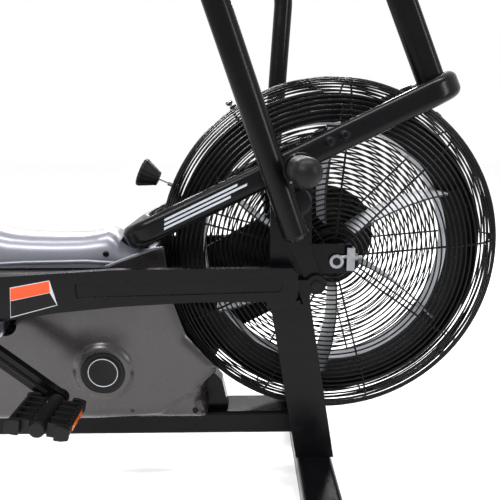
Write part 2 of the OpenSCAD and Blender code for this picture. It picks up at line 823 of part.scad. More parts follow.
module grip(s) {
  color(rubber_black) at_fan() at_pivot(s)
    translate([arm_back - arm_bend_r, -arm_y, arm_straight]) rotate([0, -arm_bend, 0])
      translate([arm_bend_r, 0, arm_upper - grip_l]) difference() {
        union() {
          cylinder(d = arm_d + 8, h = grip_l);
          translate([0, 0, grip_l]) sphere(d = arm_d + 8);
          cylinder(d = arm_d + 13, h = 6);
        }
        translate([0, 0, -1]) cylinder(d = arm_d + 0.02, h = grip_l + 1);
      }
}
module right_grip() { grip(-1); }
module left_grip() { grip(1); }
module peg(s) { color(rubber_black) at_fan() at_pivot(s) peg_shape(); }
module right_peg() { peg(-1); }
module left_peg() { peg(1); }

// ---------------------------------------------------------------- links
// World position of an arm's lever bolt, from the fan axle, for a lean of a degrees (back positive)
function lever_at(a) = [pivot_x + lever_x * cos(a) - lever_z * sin(a),
  pivot_z + lever_x * sin(a) + lever_z * cos(a)];
link_eye = 14;
module link_bar(a, b, outer) {
  mid = [-300, a[1] + (outer ? -8 : -18)];
  half = [0, 10];
  difference() {
    plate(-link_in - link_t, -link_in) {
      translate(a) circle(18);
      translate(b) circle(link_eye);
      polygon([a + half, mid + half, b + half, b - half, mid - half, a - half]);
    }
    translate([b[0], 0, b[1]]) along_y(8.4, -link_in - link_t - 1, -link_in + 1);
    translate([a[0], 0, a[1]]) along_y(6.05, -link_in - link_t - 1, -link_in + 1);
  }
  // Shouldered bolt through the lever, with a low head outside the link
  translate([a[0], 0, a[1]]) {
    along_y(6, -link_in - link_t - 0.01, -leg_out - 1);
    along_y(9, -link_in - link_t - head_t, -link_in - link_t);
  }
}
right_bolt = lever_at(right_lean);
left_bolt = lever_at(right_lean - arm_spread);
module right_link() {
  color(frame_black) at_fan() side(-1) link_bar(right_bolt, [crank_x, crank_z + throw], true);
}
module left_link() {
  color(frame_black) at_fan() side(1) link_bar(left_bolt, [crank_x, crank_z - throw], false);
}

// ---------------------------------------------------------------- crank
crank_axle_r = 10;
ecc_y = 112;
module crank_axle() {
  color(zinc) at_fan() translate([crank_x, 0, crank_z]) {
    along_y(crank_axle_r, -crank_in - 10, crank_in + 10);
    for (s = [-1, 1]) side(s) {
      difference() {
        plate(-ecc_y - 8, -ecc_y) bar([0, 0], [0, -s * throw], 15);
        along_y(crank_axle_r, -ecc_y - 9, -ecc_y + 1);
      }
      translate([0, 0, -s * throw]) along_y(8, -link_in + 0.5, -ecc_y - 7);
    }
  }
}

// Crank arms: the right one points forward and down, the left one the opposite way
module crank_arm(s) {
  a = s < 0 ? -crank_down : 180 - crank_down;
  tip = crank_l * [cos(a), sin(a)];
  difference() {
    plate(-crank_in - crank_t, -crank_in) {
      circle(22);
      translate(tip) circle(16);
      bar([0, 0], tip, 14);
    }
    along_y(crank_axle_r + 0.02, -crank_in - crank_t - 1, -crank_in + 1);
    translate([tip[0], 0, tip[1]]) along_y(7.02, -crank_in - crank_t - 1, -crank_in + 1);
  }
}
module crank_arms() {
  color(frame_black) at_fan() translate([crank_x, 0, crank_z]) for (s = [-1, 1]) side(s) crank_arm(s);
}

// A pulley with a flat rim between two low flanges, a web and a hub, bored for its shaft
module pulley(r, y, w, bore) {
  difference() {
    union() {
      along_y(r, y, y + w);
      along_y(r + 3, y - 1.5, y);
      along_y(r + 3, y + w, y + w + 1.5);
    }
    along_y(bore, y - 4, y + w + 4);
    if (r > 60) for (a = [0:60:300]) rotate([0, a, 0]) translate([r * 0.58, 0, 0])
      along_y(r * 0.2, y - 4, y + w + 4);
  }
}
module crank_pulley() {
  color(frame_black) at_fan() translate([crank_x, 0, crank_z])
    pulley(big_pulley_r, belt_y, belt_w, crank_axle_r + 0.02);
}

module jackshaft() {
  color(zinc) at_fan() translate([jack_x, 0, jack_z]) {
    along_y(8, -30, fan_belt_y + fan_belt_w);
    pulley(small_pulley_r, belt_y, belt_w, 8);
    difference() {
      along_y(jack_pulley_r, fan_belt_y, fan_belt_y + fan_belt_w);
      along_y(8, fan_belt_y - 1, fan_belt_y + fan_belt_w + 1);
      for (a = [0:60:300]) rotate([0, a, 0]) translate([54, 0, 0])
        along_y(18, fan_belt_y - 4, fan_belt_y + fan_belt_w + 4);
    }
  }
}

// A flat belt round two pulleys: the outline of both circles and their outer tangents
loop_inset = 0.05;
module loop2d(c1, r1, c2, r2) {
  d = c2 - c1;
  l = norm(d);
  a = atan2(d[1], d[0]);
  b = acos((r1 - r2) / l);
  translate(c1) circle(r1);
  translate(c2) circle(r2);
  s1 = r1 - loop_inset;
  s2 = r2 - loop_inset;
  polygon([c1 + s1 * [cos(a + b), sin(a + b)], c1 + s1 * [cos(a - b), sin(a - b)],
    c2 + s2 * [cos(a - b), sin(a - b)], c2 + s2 * [cos(a + b), sin(a + b)]]);
}
module belt(y, w, c1, r1, c2, r2) {
  plate(y, y + w) difference() {
    loop2d(c1, r1 + belt_t - 0.5, c2, r2 + belt_t - 0.5);
    loop2d(c1, r1 + 0.3, c2, r2 + 0.3);
  }
}
module drive_belt() {
  color(rubber_black) at_fan() belt(belt_y + 0.5, belt_w - 1, [crank_x, crank_z], big_pulley_r,
    [jack_x, jack_z], small_pulley_r);
}
module fan_belt() {
  color(rubber_black) at_fan() belt(fan_belt_y + 0.5, fan_belt_w - 1, [jack_x, jack_z], jack_pulley_r,
    [0, 0], fan_pulley_r);
}

// Ball bearings of the two shafts in the spine
module shaft_bearings() {
  color(zinc) at_fan() {
    for (y = [-34, 8]) translate([crank_x, 0, crank_z]) difference() {
      along_y(20.98, y, y + 10);
      along_y(crank_axle_r + 0.03, y - 1, y + 11);
    }
    for (y = [-28, 8]) translate([jack_x, 0, jack_z]) difference() {
      along_y(17.48, y, y + 9);
      along_y(8.03, y - 1, y + 10);
    }
  }
}

// Pedal: a frame with tread bars on a spindle, free to turn
pedal_w = 96;
pedal_l = 104;
module pedal(s) {
  a = s < 0 ? -crank_down : 180 - crank_down;
  y0 = -crank_in - crank_t - 3;
  color(rubber_black) at_fan() side(s) translate([crank_x + crank_l * cos(a), 0, crank_z + crank_l * sin(a)])
    rotate([0, 10, 0]) {
      difference() {
        translate([-pedal_l / 2, y0 - pedal_w, -13]) cube([pedal_l, pedal_w, 26]);
        for (i = [-1, 1], j = [0:2]) translate([i * 32 - 14, y0 - pedal_w + 8 + j * 29, -20]) cube([28, 22, 40]);
      }
      along_y(7, y0 - 8, y0 + 3 + crank_t);
    }
}
module right_pedal() { pedal(-1); }
module left_pedal() { pedal(1); }

// ---------------------------------------------------------------- small parts
// Child-safety lock: a knob whose stem slides in to the fan's rim through a bushing in the cage
lock_angle = 157.1;
lock_bore = 2.05;
lock_tip = 331.3;
module on_lock_line() { rotate([0, -lock_angle, 0]) rotate([0, 90, 0]) children(); }
module lock_bushing() {
  color(zinc) at_fan() on_lock_line() translate([0, 0, 333]) difference() {
    cylinder(r = 5.15, h = 19);
    translate([0, 0, -1]) cylinder(r = lock_bore, h = 21);
  }
}
module lock_knob() {
  color(rubber_black) at_fan() on_lock_line() {
    translate([0, 0, lock_tip]) cylinder(r = lock_bore - 0.05, h = 43);
    translate([0, 0, lock_tip]) cylinder(r = 4.5, h = 1.5);
    translate([0, 0, 373]) cylinder(r1 = 14.3, r2 = 27, h = 30);
    translate([0, 0, 402.9]) cylinder(r = 28.5, h = 5.1);
    translate([0, 0, 408]) cylinder(r1 = 28.5, r2 = 24, h = 3);
  }
}

// Button-head bolts on both outer faces of the yoke
module frame_bolts() {
  color(frame_black) at_fan() for (s = [-1, 1]) side(s) for (p = [[-21, 219], [5, 230]])
    translate([p[0], 0, p[1]]) {
      along_y(8.5, -yoke_y - yoke_t / 2 - 4, -yoke_y - yoke_t / 2);
    }
}

base_rail();
front_stabilizer();
rear_stabilizer();
stabilizer_caps();
right_leg();
left_leg();
right_side_rail();
left_side_rail();
head_yoke();
neck_post();
frame_spine();
seat_tube();
console_mast();
console_housing();
console_screen();
start_button();
mode_button();
stop_button();
right_shroud();
left_shroud();
top_cover();
belt_guard();
right_grille();
left_grille();
rim_clips();
fan_axle();
axle_hardware();
arm_pivot_pins();
shaft_bearings();
frame_bolts();
right_foot();
left_foot();
right_wheel();
left_wheel();
lock_bushing();
lock_knob();
right_arm();
left_arm();
right_grip();
left_grip();
right_peg();
left_peg();
right_link();
left_link();
crank_axle();
crank_arms();
crank_pulley();
right_pedal();
left_pedal();
drive_belt();
fan_belt();
jackshaft();
fan_hub();
fan_blades();
fan_ring();
seat_post();
seat_slider();
slider_knob();
saddle();
seat_pin();
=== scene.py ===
"""Air bike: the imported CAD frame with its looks.

The scene is in metres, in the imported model's frame: X forward, Y to the rider's left, Z up, floor at 0.
The shapes are drawn in millimetres from the fan's axis, in the same directions.
"""

import json
import math

import bmesh
import bpy
from mathutils import Matrix, Vector
from mathutils.geometry import delaunay_2d_cdt


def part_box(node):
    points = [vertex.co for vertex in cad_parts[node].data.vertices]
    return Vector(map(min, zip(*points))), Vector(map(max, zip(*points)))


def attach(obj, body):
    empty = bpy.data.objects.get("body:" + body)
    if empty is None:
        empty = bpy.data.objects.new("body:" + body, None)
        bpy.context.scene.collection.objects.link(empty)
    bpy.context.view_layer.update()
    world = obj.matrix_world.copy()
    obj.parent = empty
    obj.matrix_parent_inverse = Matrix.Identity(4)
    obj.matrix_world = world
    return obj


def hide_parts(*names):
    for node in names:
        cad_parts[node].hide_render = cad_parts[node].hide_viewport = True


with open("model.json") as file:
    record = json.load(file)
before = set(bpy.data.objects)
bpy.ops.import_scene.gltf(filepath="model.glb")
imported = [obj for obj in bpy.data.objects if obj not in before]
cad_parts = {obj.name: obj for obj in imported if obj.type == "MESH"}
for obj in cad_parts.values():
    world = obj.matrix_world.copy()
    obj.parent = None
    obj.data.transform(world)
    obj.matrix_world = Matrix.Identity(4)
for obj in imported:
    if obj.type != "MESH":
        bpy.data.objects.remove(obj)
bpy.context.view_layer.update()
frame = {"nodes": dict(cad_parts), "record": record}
nodes = frame["nodes"]

# ------------------------------------------------------------------ places read from the CAD model
FAN = (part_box("fan_axle")[0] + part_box("fan_axle")[1]) / 2


def at_fan(x, z, y=0.0):
    """A point given in millimetres from the fan's axis."""
    return Vector((FAN.x + x / 1000, y / 1000, FAN.z + z / 1000))


# ------------------------------------------------------------------ materials
def linear(hex_colour):
    """The linear colour of an sRGB hex string."""
    out = []
    for i in (0, 2, 4):
        c = int(hex_colour[i : i + 2], 16) / 255
        out.append(c / 12.92 if c <= 0.04045 else ((c + 0.055) / 1.055) ** 2.4)
    return (*out, 1.0)


class Shader:
    """A node tree with short calls for the nodes that the finishes share."""

    def __init__(self, name):
        self.mat = bpy.data.materials.new(name)
        self.mat.use_nodes = True
        self.tree = self.mat.node_tree
        self.tree.nodes.clear()
        self.out = self.tree.nodes.new("ShaderNodeOutputMaterial")
        self.bsdf = self.tree.nodes.new("ShaderNodeBsdfPrincipled")
        self.link(self.bsdf.outputs[0], self.out.inputs[0])
        self.place = self.tree.nodes.new("ShaderNodeTexCoord").outputs["Object"]

    def link(self, a, b):
        self.tree.links.new(a, b)

    def set(self, **values):
        for key, value in values.items():
            socket = key.replace("_", " ").title().replace("Ior", "IOR")
            self.bsdf.inputs[socket].default_value = value

    def stretch(self, scale):
        node = self.tree.nodes.new("ShaderNodeMapping")
        node.inputs["Scale"].default_value = scale
        self.link(self.place, node.inputs["Vector"])
        return node.outputs[0]

    def noise(self, scale, detail=2.0, rough=0.5, place=None):
        node = self.tree.nodes.new("ShaderNodeTexNoise")
        node.inputs["Scale"].default_value = scale
        node.inputs["Detail"].default_value = detail
        node.inputs["Roughness"].default_value = rough
        self.link(place or self.place, node.inputs["Vector"])
        return node.outputs["Fac"]

    def cells(self, scale):
        node = self.tree.nodes.new("ShaderNodeTexVoronoi")
        node.inputs["Scale"].default_value = scale
        self.link(self.place, node.inputs["Vector"])
        return node.outputs["Distance"]

    def span(self, value, low, high, start=0.0, stop=1.0):
        node = self.tree.nodes.new("ShaderNodeMapRange")
        node.inputs["From Min"].default_value = start
        node.inputs["From Max"].default_value = stop
        node.inputs["To Min"].default_value = low
        node.inputs["To Max"].default_value = high
        self.link(value, node.inputs["Value"])
        return node.outputs[0]

    def math(self, kind, a, b=None, c=None):
        node = self.tree.nodes.new("ShaderNodeMath")
        node.operation = kind
        for i, value in enumerate((a, b, c)):
            if value is None:
                continue
            if isinstance(value, (int, float)):
                node.inputs[i].default_value = value
            else:
                self.link(value, node.inputs[i])
        return node.outputs[0]

    def mix(self, factor, a, b):
        node = self.tree.nodes.new("ShaderNodeMix")
        node.data_type = "RGBA"
        self.link(factor, node.inputs["Factor"])
        for socket, value in ((node.inputs["A"], a), (node.inputs["B"], b)):
            if isinstance(value, tuple):
                socket.default_value = value
            else:
                self.link(value, socket)
        return node.outputs["Result"]

    def bevel(self, radius):
        node = self.tree.nodes.new("ShaderNodeBevel")
        node.samples = 4
        node.inputs["Radius"].default_value = radius
        return node.outputs[0]

    def bump(self, height, depth, normal=None):
        """depth is the height in metres that the bump stands for."""
        node = self.tree.nodes.new("ShaderNodeBump")
        node.inputs["Strength"].default_value = 1.0
        node.inputs["Distance"].default_value = depth
        self.link(height, node.inputs["Height"])
        if normal is not None:
            self.link(normal, node.inputs["Normal"])
        return node.outputs[0]

    def edges(self, radius):
        """Near 1 on a sharp edge and 0 on a flat face, for rubbed edges and a painted edge highlight."""
        dot = self.tree.nodes.new("ShaderNodeVectorMath")
        dot.operation = "DOT_PRODUCT"
        self.link(self.bevel(radius), dot.inputs[0])
        self.link(self.tree.nodes.new("ShaderNodeNewGeometry").outputs["True Normal"], dot.inputs[1])
        return self.span(dot.outputs["Value"], 1.0, 0.0, 0.86, 0.995)

    def from_axle(self):
        """Distance from the fan's axle and place along it, in metres, for paint that changes on one node."""
        split = self.tree.nodes.new("ShaderNodeSeparateXYZ")
        self.link(self.place, split.inputs[0])
        dx = self.math("SUBTRACT", split.outputs["X"], FAN.x)
        dz = self.math("SUBTRACT", split.outputs["Z"], FAN.z)
        squares = self.math("MULTIPLY_ADD", dx, dx, self.math("MULTIPLY", dz, dz))
        return self.math("SQRT", squares), split.outputs["Y"]

    def colour(self, socket):
        self.link(socket, self.bsdf.inputs["Base Color"])

    def rough(self, socket):
        self.link(socket, self.bsdf.inputs["Roughness"])

    def normal(self, socket):
        self.link(socket, self.bsdf.inputs["Normal"])


def coated(name, dark, light, worn_and_lit_edge_colour, rough=(0.3, 0.44), peel=0.00003, bevel=0.0012, shine=0.3, second=None):
    """Paint or powder coat: slight cloudiness, orange peel, and lighter edges that stand for rubbed paint and a
    painted highlight.

    second is (test, dark, light): another paint where test(shader) is 1.
    """
    s = Shader(name)
    s.set(specular_ior_level=shine)
    cloud = s.noise(9, 3, 0.6)
    base = s.mix(cloud, linear(dark), linear(light))
    if second:
        base = s.mix(second[0](s), base, s.mix(cloud, linear(second[1]), linear(second[2])))
    # Lighter colour on the sharp edges: partly rubbed paint, partly a painted highlight
    wear_and_edge_highlight = s.math("MULTIPLY", s.edges(bevel), s.span(s.noise(60, 4, 0.65), 0.0, 1.0, 0.42, 0.7))
    s.colour(s.mix(wear_and_edge_highlight, base, linear(worn_and_lit_edge_colour)))
    s.rough(s.span(s.noise(35, 3, 0.6), rough[0], rough[1], 0.3, 0.7))
    grain = s.math("ADD", s.noise(750, 2, 0.5), s.math("MULTIPLY", s.noise(2600, 1, 0.5), 0.35))
    s.normal(s.bump(grain, peel, s.bevel(bevel)))
    return s.mat


def moulded(name, dark, light, rough=(0.42, 0.56), stipple=0.00004, scale=1500, bevel=0.0008):
    """Moulded plastic or rubber with a fine spark-eroded stipple."""
    s = Shader(name)
    s.set(specular_ior_level=0.12)
    s.colour(s.mix(s.noise(16, 4, 0.65), linear(dark), linear(light)))
    s.rough(s.span(s.noise(50, 3, 0.6), rough[0], rough[1], 0.3, 0.7))
    pits = s.math("ADD", s.cells(scale), s.math("MULTIPLY", s.noise(scale * 0.5, 2), 0.6))
    s.normal(s.bump(pits, stipple, s.bevel(bevel)))
    return s.mat


def flaked(name, dark, light, rough=(0.3, 0.4), metallic=0.55, sparkle=0.1):
    """Metallic-painted plastic: a fine flake under a soft clear coat."""
    s = Shader(name)
    s.set(metallic=metallic, coat_weight=0.25, coat_roughness=0.22)
    flake = s.span(s.cells(2400), 0.0, 1.0, 0.0, 0.8)
    cloud = s.math("MULTIPLY", s.noise(6, 3, 0.55), 1.0 - sparkle)
    tone = s.math("ADD", cloud, s.math("MULTIPLY", flake, sparkle))
    s.colour(s.mix(tone, linear(dark), linear(light)))
    s.rough(s.span(s.noise(28, 3, 0.6), rough[0], rough[1], 0.3, 0.7))
    s.normal(s.bump(s.noise(900, 2), 0.00002, s.bevel(0.0015)))
    return s.mat


def metal(name, dark, light, rough=(0.22, 0.36), draw=(1, 1, 1), scratch=0.00001, bevel=0.0004):
    """Plated or brushed steel with drawn streaks along the axis whose draw value is small."""
    s = Shader(name)
    s.set(metallic=1.0)
    streak = s.noise(600, 3, 0.6, s.stretch(draw))
    s.colour(s.mix(s.noise(40, 4, 0.6), linear(dark), linear(light)))
    s.rough(s.span(streak, rough[0], rough[1], 0.25, 0.75))
    s.normal(s.bump(streak, scratch, s.bevel(bevel)))
    return s.mat


def leather(name, dark, light):
    """Vinyl with a pebbled grain and a little sheen."""
    s = Shader(name)
    s.set(specular_ior_level=0.16, sheen_weight=0.03, sheen_roughness=0.5)
    s.colour(s.mix(s.noise(24, 4, 0.6), linear(dark), linear(light)))
    s.rough(s.span(s.noise(90, 3, 0.6), 0.5, 0.68, 0.3, 0.7))
    grain = s.math("ADD", s.cells(620), s.math("MULTIPLY", s.noise(1800, 2), 0.3))
    s.normal(s.bump(grain, 0.00012))
    return s.mat


def glass_panel(name, dark, light):
    """Smooth display window."""
    s = Shader(name)
    s.set(specular_ior_level=0.6, coat_weight=0.6, coat_roughness=0.05)
    s.colour(s.mix(s.noise(8, 2), linear(dark), linear(light)))
    s.rough(s.span(s.noise(30, 3), 0.12, 0.2, 0.3, 0.7))
    return s.mat


def near_edge(s):
    """1 on the edge of a blade that faces the rider's right."""
    _, y = s.from_axle()
    return s.math("LESS_THAN", y, -0.0525)


def inner_lip(s):
    """1 on the lip that stands round the ends of the blades."""
    r, _ = s.from_axle()
    return s.math("LESS_THAN", r, 0.2565)


# In each coated paint the fourth colour is the edge colour: rubbed paint and a painted edge highlight
MATS = {
    "frame_black": coated("frame_black", "040405", "08080a", "26262c", (0.2, 0.3), shine=0.09),
    "cage_wire": coated("cage_wire", "040405", "070708", "18181c", (0.22, 0.32), 0.00001, 0.0003, 0.1),
    "shroud_gunmetal": flaked("shroud_gunmetal", "232121", "2d2a2a", (0.24, 0.32), 0.55),
    "cover_grey": flaked("cover_grey", "53545c", "62636b", (0.3, 0.38), 0.35),
    "black_plastic": moulded("black_plastic", "060607", "0b0b0c"),
    "rubber_black": moulded("rubber_black", "050506", "09090a", (0.4, 0.52), 0.00005, 900),
    "zinc_steel": metal("zinc_steel", "55575b", "8b8d91"),
    "black_bolt": metal("black_bolt", "141416", "202024", (0.3, 0.42)),
    "blade_grey": coated("blade_grey", "8e9096", "a4a6ab", "c0c2c6", (0.34, 0.46),
                         second=(near_edge, "1a1a1c", "242427")),
    "chrome_post": metal("chrome_post", "6c6d72", "a2a3a7", (0.12, 0.22), (1, 1, 0.04)),
    "saddle_vinyl": leather("saddle_vinyl", "0b0a0b", "121113"),
    "button_grey": moulded("button_grey", "6b6c70", "7c7d82"),
    "screen": glass_panel("screen", "171c1f", "22292c"),
}
RING_PAINT = coated("fan_ring_paint", "040405", "08080a", "1e1e22", (0.3, 0.42), shine=0.09,
                    second=(inner_lip, "8e9096", "a4a6ab"))
SILVER_PRINT = coated("silver_print", "8b8e96", "9a9da4", "b0b2b8", (0.4, 0.5), 0.000005)
REFLECTOR = moulded("amber_reflector", "8f3a0c", "b04c10", (0.15, 0.25), 0.0003, 260)
for entry in frame["record"]["subparts"]:
    cad = nodes[entry["node"]]
    cad.data.materials.clear()
    cad.data.materials.append(RING_PAINT if entry["node"] == "fan_ring" else MATS[entry["material_slot"]])

# ------------------------------------------------------------------ camera, floor and light
CAMERA_AT = Vector((FAN.x - 0.176, -1.016, FAN.z + 0.221))
camera = bpy.data.objects.new("camera", bpy.data.cameras.new("camera"))
camera.data.lens = 36
camera.data.sensor_width = 36
camera.data.shift_y = -0.023
camera.location = CAMERA_AT
camera.rotation_euler = (math.radians(78.9), 0, math.radians(-0.95))
bpy.context.collection.objects.link(camera)
bpy.context.scene.camera = camera


def plain(name, colour, rough):
    """Even paint for the floor."""
    s = Shader(name)
    s.colour(s.mix(s.noise(3, 2), linear(colour), linear(colour)))
    s.rough(s.span(s.noise(5, 2), rough, rough + 0.05))
    return s.mat


FLOOR_HALF = 14  # metres
floor_mesh = bpy.data.meshes.new("floor")
corners = [(x * FLOOR_HALF, y * FLOOR_HALF, 0) for x, y in ((-1, -1), (1, -1), (1, 1), (-1, 1))]
floor_mesh.from_pydata(corners, [], [(0, 1, 2, 3)])
floor = bpy.data.objects.new("floor", floor_mesh)
floor.location.z = -0.0005
floor_mesh.materials.append(plain("pale_floor", "fdfdfd", 0.6))
bpy.context.collection.objects.link(floor)


def softbox(name, at, towards, size, power):
    """A rectangular light, in metres and watts."""
    light = bpy.data.objects.new(name, bpy.data.lights.new(name, "AREA"))
    light.data.shape = "RECTANGLE"
    light.data.size, light.data.size_y = size
    light.data.energy = power
    light.location = at
    light.rotation_mode = "QUATERNION"
    light.rotation_quaternion = (Vector(towards) - Vector(at)).to_track_quat("-Z", "Y")
    bpy.context.collection.objects.link(light)


softbox("key_strip", (-1.5, -1.9, 2.5), (0.1, 0, 0.6), (1.8, 0.3), 90)
softbox("top_strip", (0.1, -0.3, 3.0), (0.1, 0, 0.5), (2.6, 0.35), 110)
softbox("right_strip", (2.3, -1.5, 1.5), (0.2, 0, 0.5), (0.3, 1.6), 40)
softbox("back_strip", (-0.2, 2.6, 2.3), (0.0, 0, 0.7), (2.8, 0.5), 150)
world = bpy.data.worlds.new("studio")
world.use_nodes = True
world.node_tree.nodes["Background"].inputs["Color"].default_value = (1, 1, 1, 1)
world.node_tree.nodes["Background"].inputs["Strength"].default_value = 1.0
bpy.context.scene.world = world
bpy.context.scene.view_settings.view_transform = "Standard"

# ------------------------------------------------------------------ shapes, in millimetres from the fan's axis
X, Y, Z = Vector((1, 0, 0)), Vector((0, 1, 0)), Vector((0, 0, 1))
JOINTS = {j["name"]: j for j in frame["record"]["behaviour"]["joints"]}
FLOOR = -470
CRANK_TURN = -39.6  # the right crank arm's angle; the left one points the other way
LOCK_TURN = 157.1  # the angle of the safety lock's line


def joint_at(name):
    """A joint's place in millimetres from the fan's axis, as (x, z)."""
    x, _, z = JOINTS[name]["pos_m"]
    return (x - FAN.x) * 1000, (z - FAN.z) * 1000


def rounded(points, radius, steps=5):
    """A closed outline with its corners turned into arcs."""
    out = []
    count = len(points)
    for i in range(count):
        here, back, on = (Vector(points[k % count]) for k in (i, i - 1, i + 1))
        a, b = (back - here), (on - here)
        half = a.angle(b) / 2
        reach = min(radius / math.tan(half), a.length * 0.45, b.length * 0.45)
        a, b = here + a.normalized() * reach, here + b.normalized() * reach
        for k in range(steps + 1):
            t = k / steps
            out.append((a * (1 - t) ** 2 + here * 2 * t * (1 - t) + b * t * t).to_tuple())
    return out


def arc(centre, radius, first, last, steps):
    """Points on an arc in the X-Z plane, angles in degrees."""
    turns = (math.radians(first + (last - first) * i / steps) for i in range(steps + 1))
    return [(centre[0] + radius * math.cos(t), centre[1] + radius * math.sin(t)) for t in turns]


class Shape:
    """Collects mesh parts in millimetres and makes one piece of them."""

    def __init__(self):
        self.verts, self.faces = [], []

    def add(self, verts, faces):
        start = len(self.verts)
        self.verts += [Vector(v) for v in verts]
        self.faces += [tuple(i + start for i in f) for f in faces]
        return self

    def skin(self, loops, ring=False):
        """Joins successive loops; a loop of one point is a pole, and ring joins the last to the first."""
        verts, faces, starts = [], [], []
        for loop in loops:
            starts.append(len(verts))
            verts += loop
        pairs = list(zip(range(len(loops)), range(1, len(loops))))
        if ring:
            pairs.append((len(loops) - 1, 0))
        for a, b in pairs:
            n, m = len(loops[a]), len(loops[b])
            for i in range(max(n, m)):
                j = (i + 1) % max(n, m)
                if n == 1:
                    faces.append((starts[a], starts[b] + j, starts[b] + i))
                elif m == 1:
                    faces.append((starts[a] + i, starts[a] + j, starts[b]))
                else:
                    faces.append((starts[a] + i, starts[a] + j, starts[b] + j, starts[b] + i))
        if not ring:
            if len(loops[0]) > 1:
                faces.append(tuple(reversed(range(starts[0], starts[0] + len(loops[0])))))
            if len(loops[-1]) > 1:
                faces.append(tuple(range(starts[-1], starts[-1] + len(loops[-1]))))
        return self.add(verts, faces)

    def turned(self, at, axis, profile, steps=40, flutes=0, depth=0.0, hex_from=None):
        """Profile points are (distance along axis, radius); from hex_from on, the points make a hexagon."""
        at, axis = Vector(at), Vector(axis).normalized()
        u = axis.orthogonal().normalized()
        v = axis.cross(u)
        loops = []
        for k, (t, r) in enumerate(profile):
            if r < 1e-6:
                loops.append([at + axis * t])
                continue
            loop = []
            for i in range(steps):
                a = 2 * math.pi * i / steps
                wide = r * (1 + (depth * math.cos(flutes * a) if flutes else 0))
                if hex_from is not None and k >= hex_from:
                    wide = r * math.cos(math.pi / 6) / math.cos((a % (math.pi / 3)) - math.pi / 6)
                loop.append(at + axis * t + (u * math.cos(a) + v * math.sin(a)) * wide)
            loops.append(loop)
        return self.skin(loops)

    def tube(self, path, radius, sides=16, ring=False):
        """A round bar along a path; radius is one number or one for each point."""
        path = [Vector(p) for p in path]
        count = len(path)
        radii = radius if isinstance(radius, (list, tuple)) else [radius] * count
        loops, u = [], None
        for i, p in enumerate(path):
            back = path[i - 1] if (i or ring) else p
            on = path[(i + 1) % count] if (i < count - 1 or ring) else p
            along = (on - back).normalized()
            u = (u - along * u.dot(along)).normalized() if u else along.orthogonal().normalized()
            v = along.cross(u)
            turns = (2 * math.pi * k / sides for k in range(sides))
            loops.append([p + (u * math.cos(a) + v * math.sin(a)) * radii[i] for a in turns])
        return self.skin(loops, ring=ring)

    def plate(self, outline, y0, y1):
        """A flat plate with an X-Z outline."""
        return self.skin([[Vector((x, y, z)) for x, z in outline] for y in (y0, y1)])

    def block(self, low, high):
        (a, b, c), (d, e, f) = low, high
        return self.skin([[Vector((x, y, z)) for x, y in ((a, b), (d, b), (d, e), (a, e))] for z in (c, f)])

    def moved(self, matrix):
        self.verts = [matrix @ v for v in self.verts]
        return self

    def mirrored(self):
        """Adds a copy on the other side of the bike."""
        copies = [Vector((v.x, -v.y, v.z)) for v in self.verts]
        return self.add(copies, [tuple(reversed(f)) for f in self.faces])

    def object(self, name):
        mesh = bpy.data.meshes.new(name)
        mesh.from_pydata([at_fan(v.x, v.z, v.y) for v in self.verts], [], self.faces)
        work = bmesh.new()
        work.from_mesh(mesh)
        bmesh.ops.remove_doubles(work, verts=work.verts, dist=1e-6)
        bmesh.ops.recalc_face_normals(work, faces=work.faces)
        work.to_mesh(mesh)
        work.free()
        obj = bpy.data.objects.new(name, mesh)
        bpy.context.collection.objects.link(obj)
        return obj

    def piece(self, name, slot, body, stands_for=(), bevel=0.0, segments=3, smooth=35, angle=30):
        return finished(self.object(name), slot, body, stands_for, bevel, segments, smooth, angle)


def finished(obj, slot, body, stands_for=(), bevel=0.0, segments=3, smooth=35, angle=30, material=None):
    """Gives a piece its material, its rounded edges and its body, and hides the CAD nodes that it stands for."""
    obj.data.materials.clear()
    obj.data.materials.append(material or MATS[slot])
    obj.data.shade_smooth()
    if bevel:
        mod = obj.modifiers.new("bevel", "BEVEL")
        mod.width = bevel / 1000
        mod.segments = segments
        mod.limit_method = "ANGLE"
        mod.angle_limit = math.radians(angle)
        mod.harden_normals = True
    obj.data.set_sharp_from_angle(angle=math.radians(smooth))
    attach(obj, body)
    if stands_for:
        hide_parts(*stands_for)
    return obj


def applied(obj):
    """Turns the modifiers' result into the piece's own mesh."""
    bpy.context.view_layer.update()
    mesh = bpy.data.meshes.new_from_object(obj.evaluated_get(bpy.context.evaluated_depsgraph_get()))
    obj.modifiers.clear()
    obj.data = mesh
    return obj


def cut(obj, *tools):
    """Takes the tools' volumes out of a piece and removes the tools."""
    for tool in tools:
        mod = obj.modifiers.new("cut", "BOOLEAN")
        mod.operation = "DIFFERENCE"
        mod.solver = "EXACT"
        mod.object = tool
    applied(obj)
    for tool in tools:
        bpy.data.objects.remove(tool)
    return obj


def button_head(shape, at, axis, r, h=None, steps=24):
    """A button-head bolt with a hexagon socket, standing on its seat."""
    h = h or r * 0.55
    s = r * 0.42
    profile = [(0, 0), (0, r), (h * 0.3, r * 0.985), (h * 0.7, r * 0.82), (h * 0.95, r * 0.6), (h, s * 1.12)]
    profile += [(h, s), (h * 0.45, s), (h * 0.45, 0)]
    return shape.turned(at, axis, profile, steps, hex_from=6)


def washer(shape, at, axis, r, t=1.4, steps=32):
    return shape.turned(at, axis, [(0, 0), (0, r), (t * 0.7, r), (t, r - 0.6), (t, 0)], steps)


def hex_bolt(shape, at, axis, r, h, steps=24):
    """A hexagon head with a chamfered top."""
    profile = [(0, 0), (0, r), (h * 0.82, r), (h, r * 0.86), (h, 0)]
    return shape.turned(at, axis, profile, steps, hex_from=1)


# ------------------------------------------------------------------ covers
# Distance from the axle that the covers keep clear at each distance from the middle plane
ROOM = [(0, 92), (292, 92), (330, 72), (351, 30), (351, -30), (330, -72), (292, -92), (0, -92)]


def cage_room():
    return Shape().turned((0, 0, 0), Y, [(y, r) for r, y in reversed(ROOM)], 160).object("cage_room")


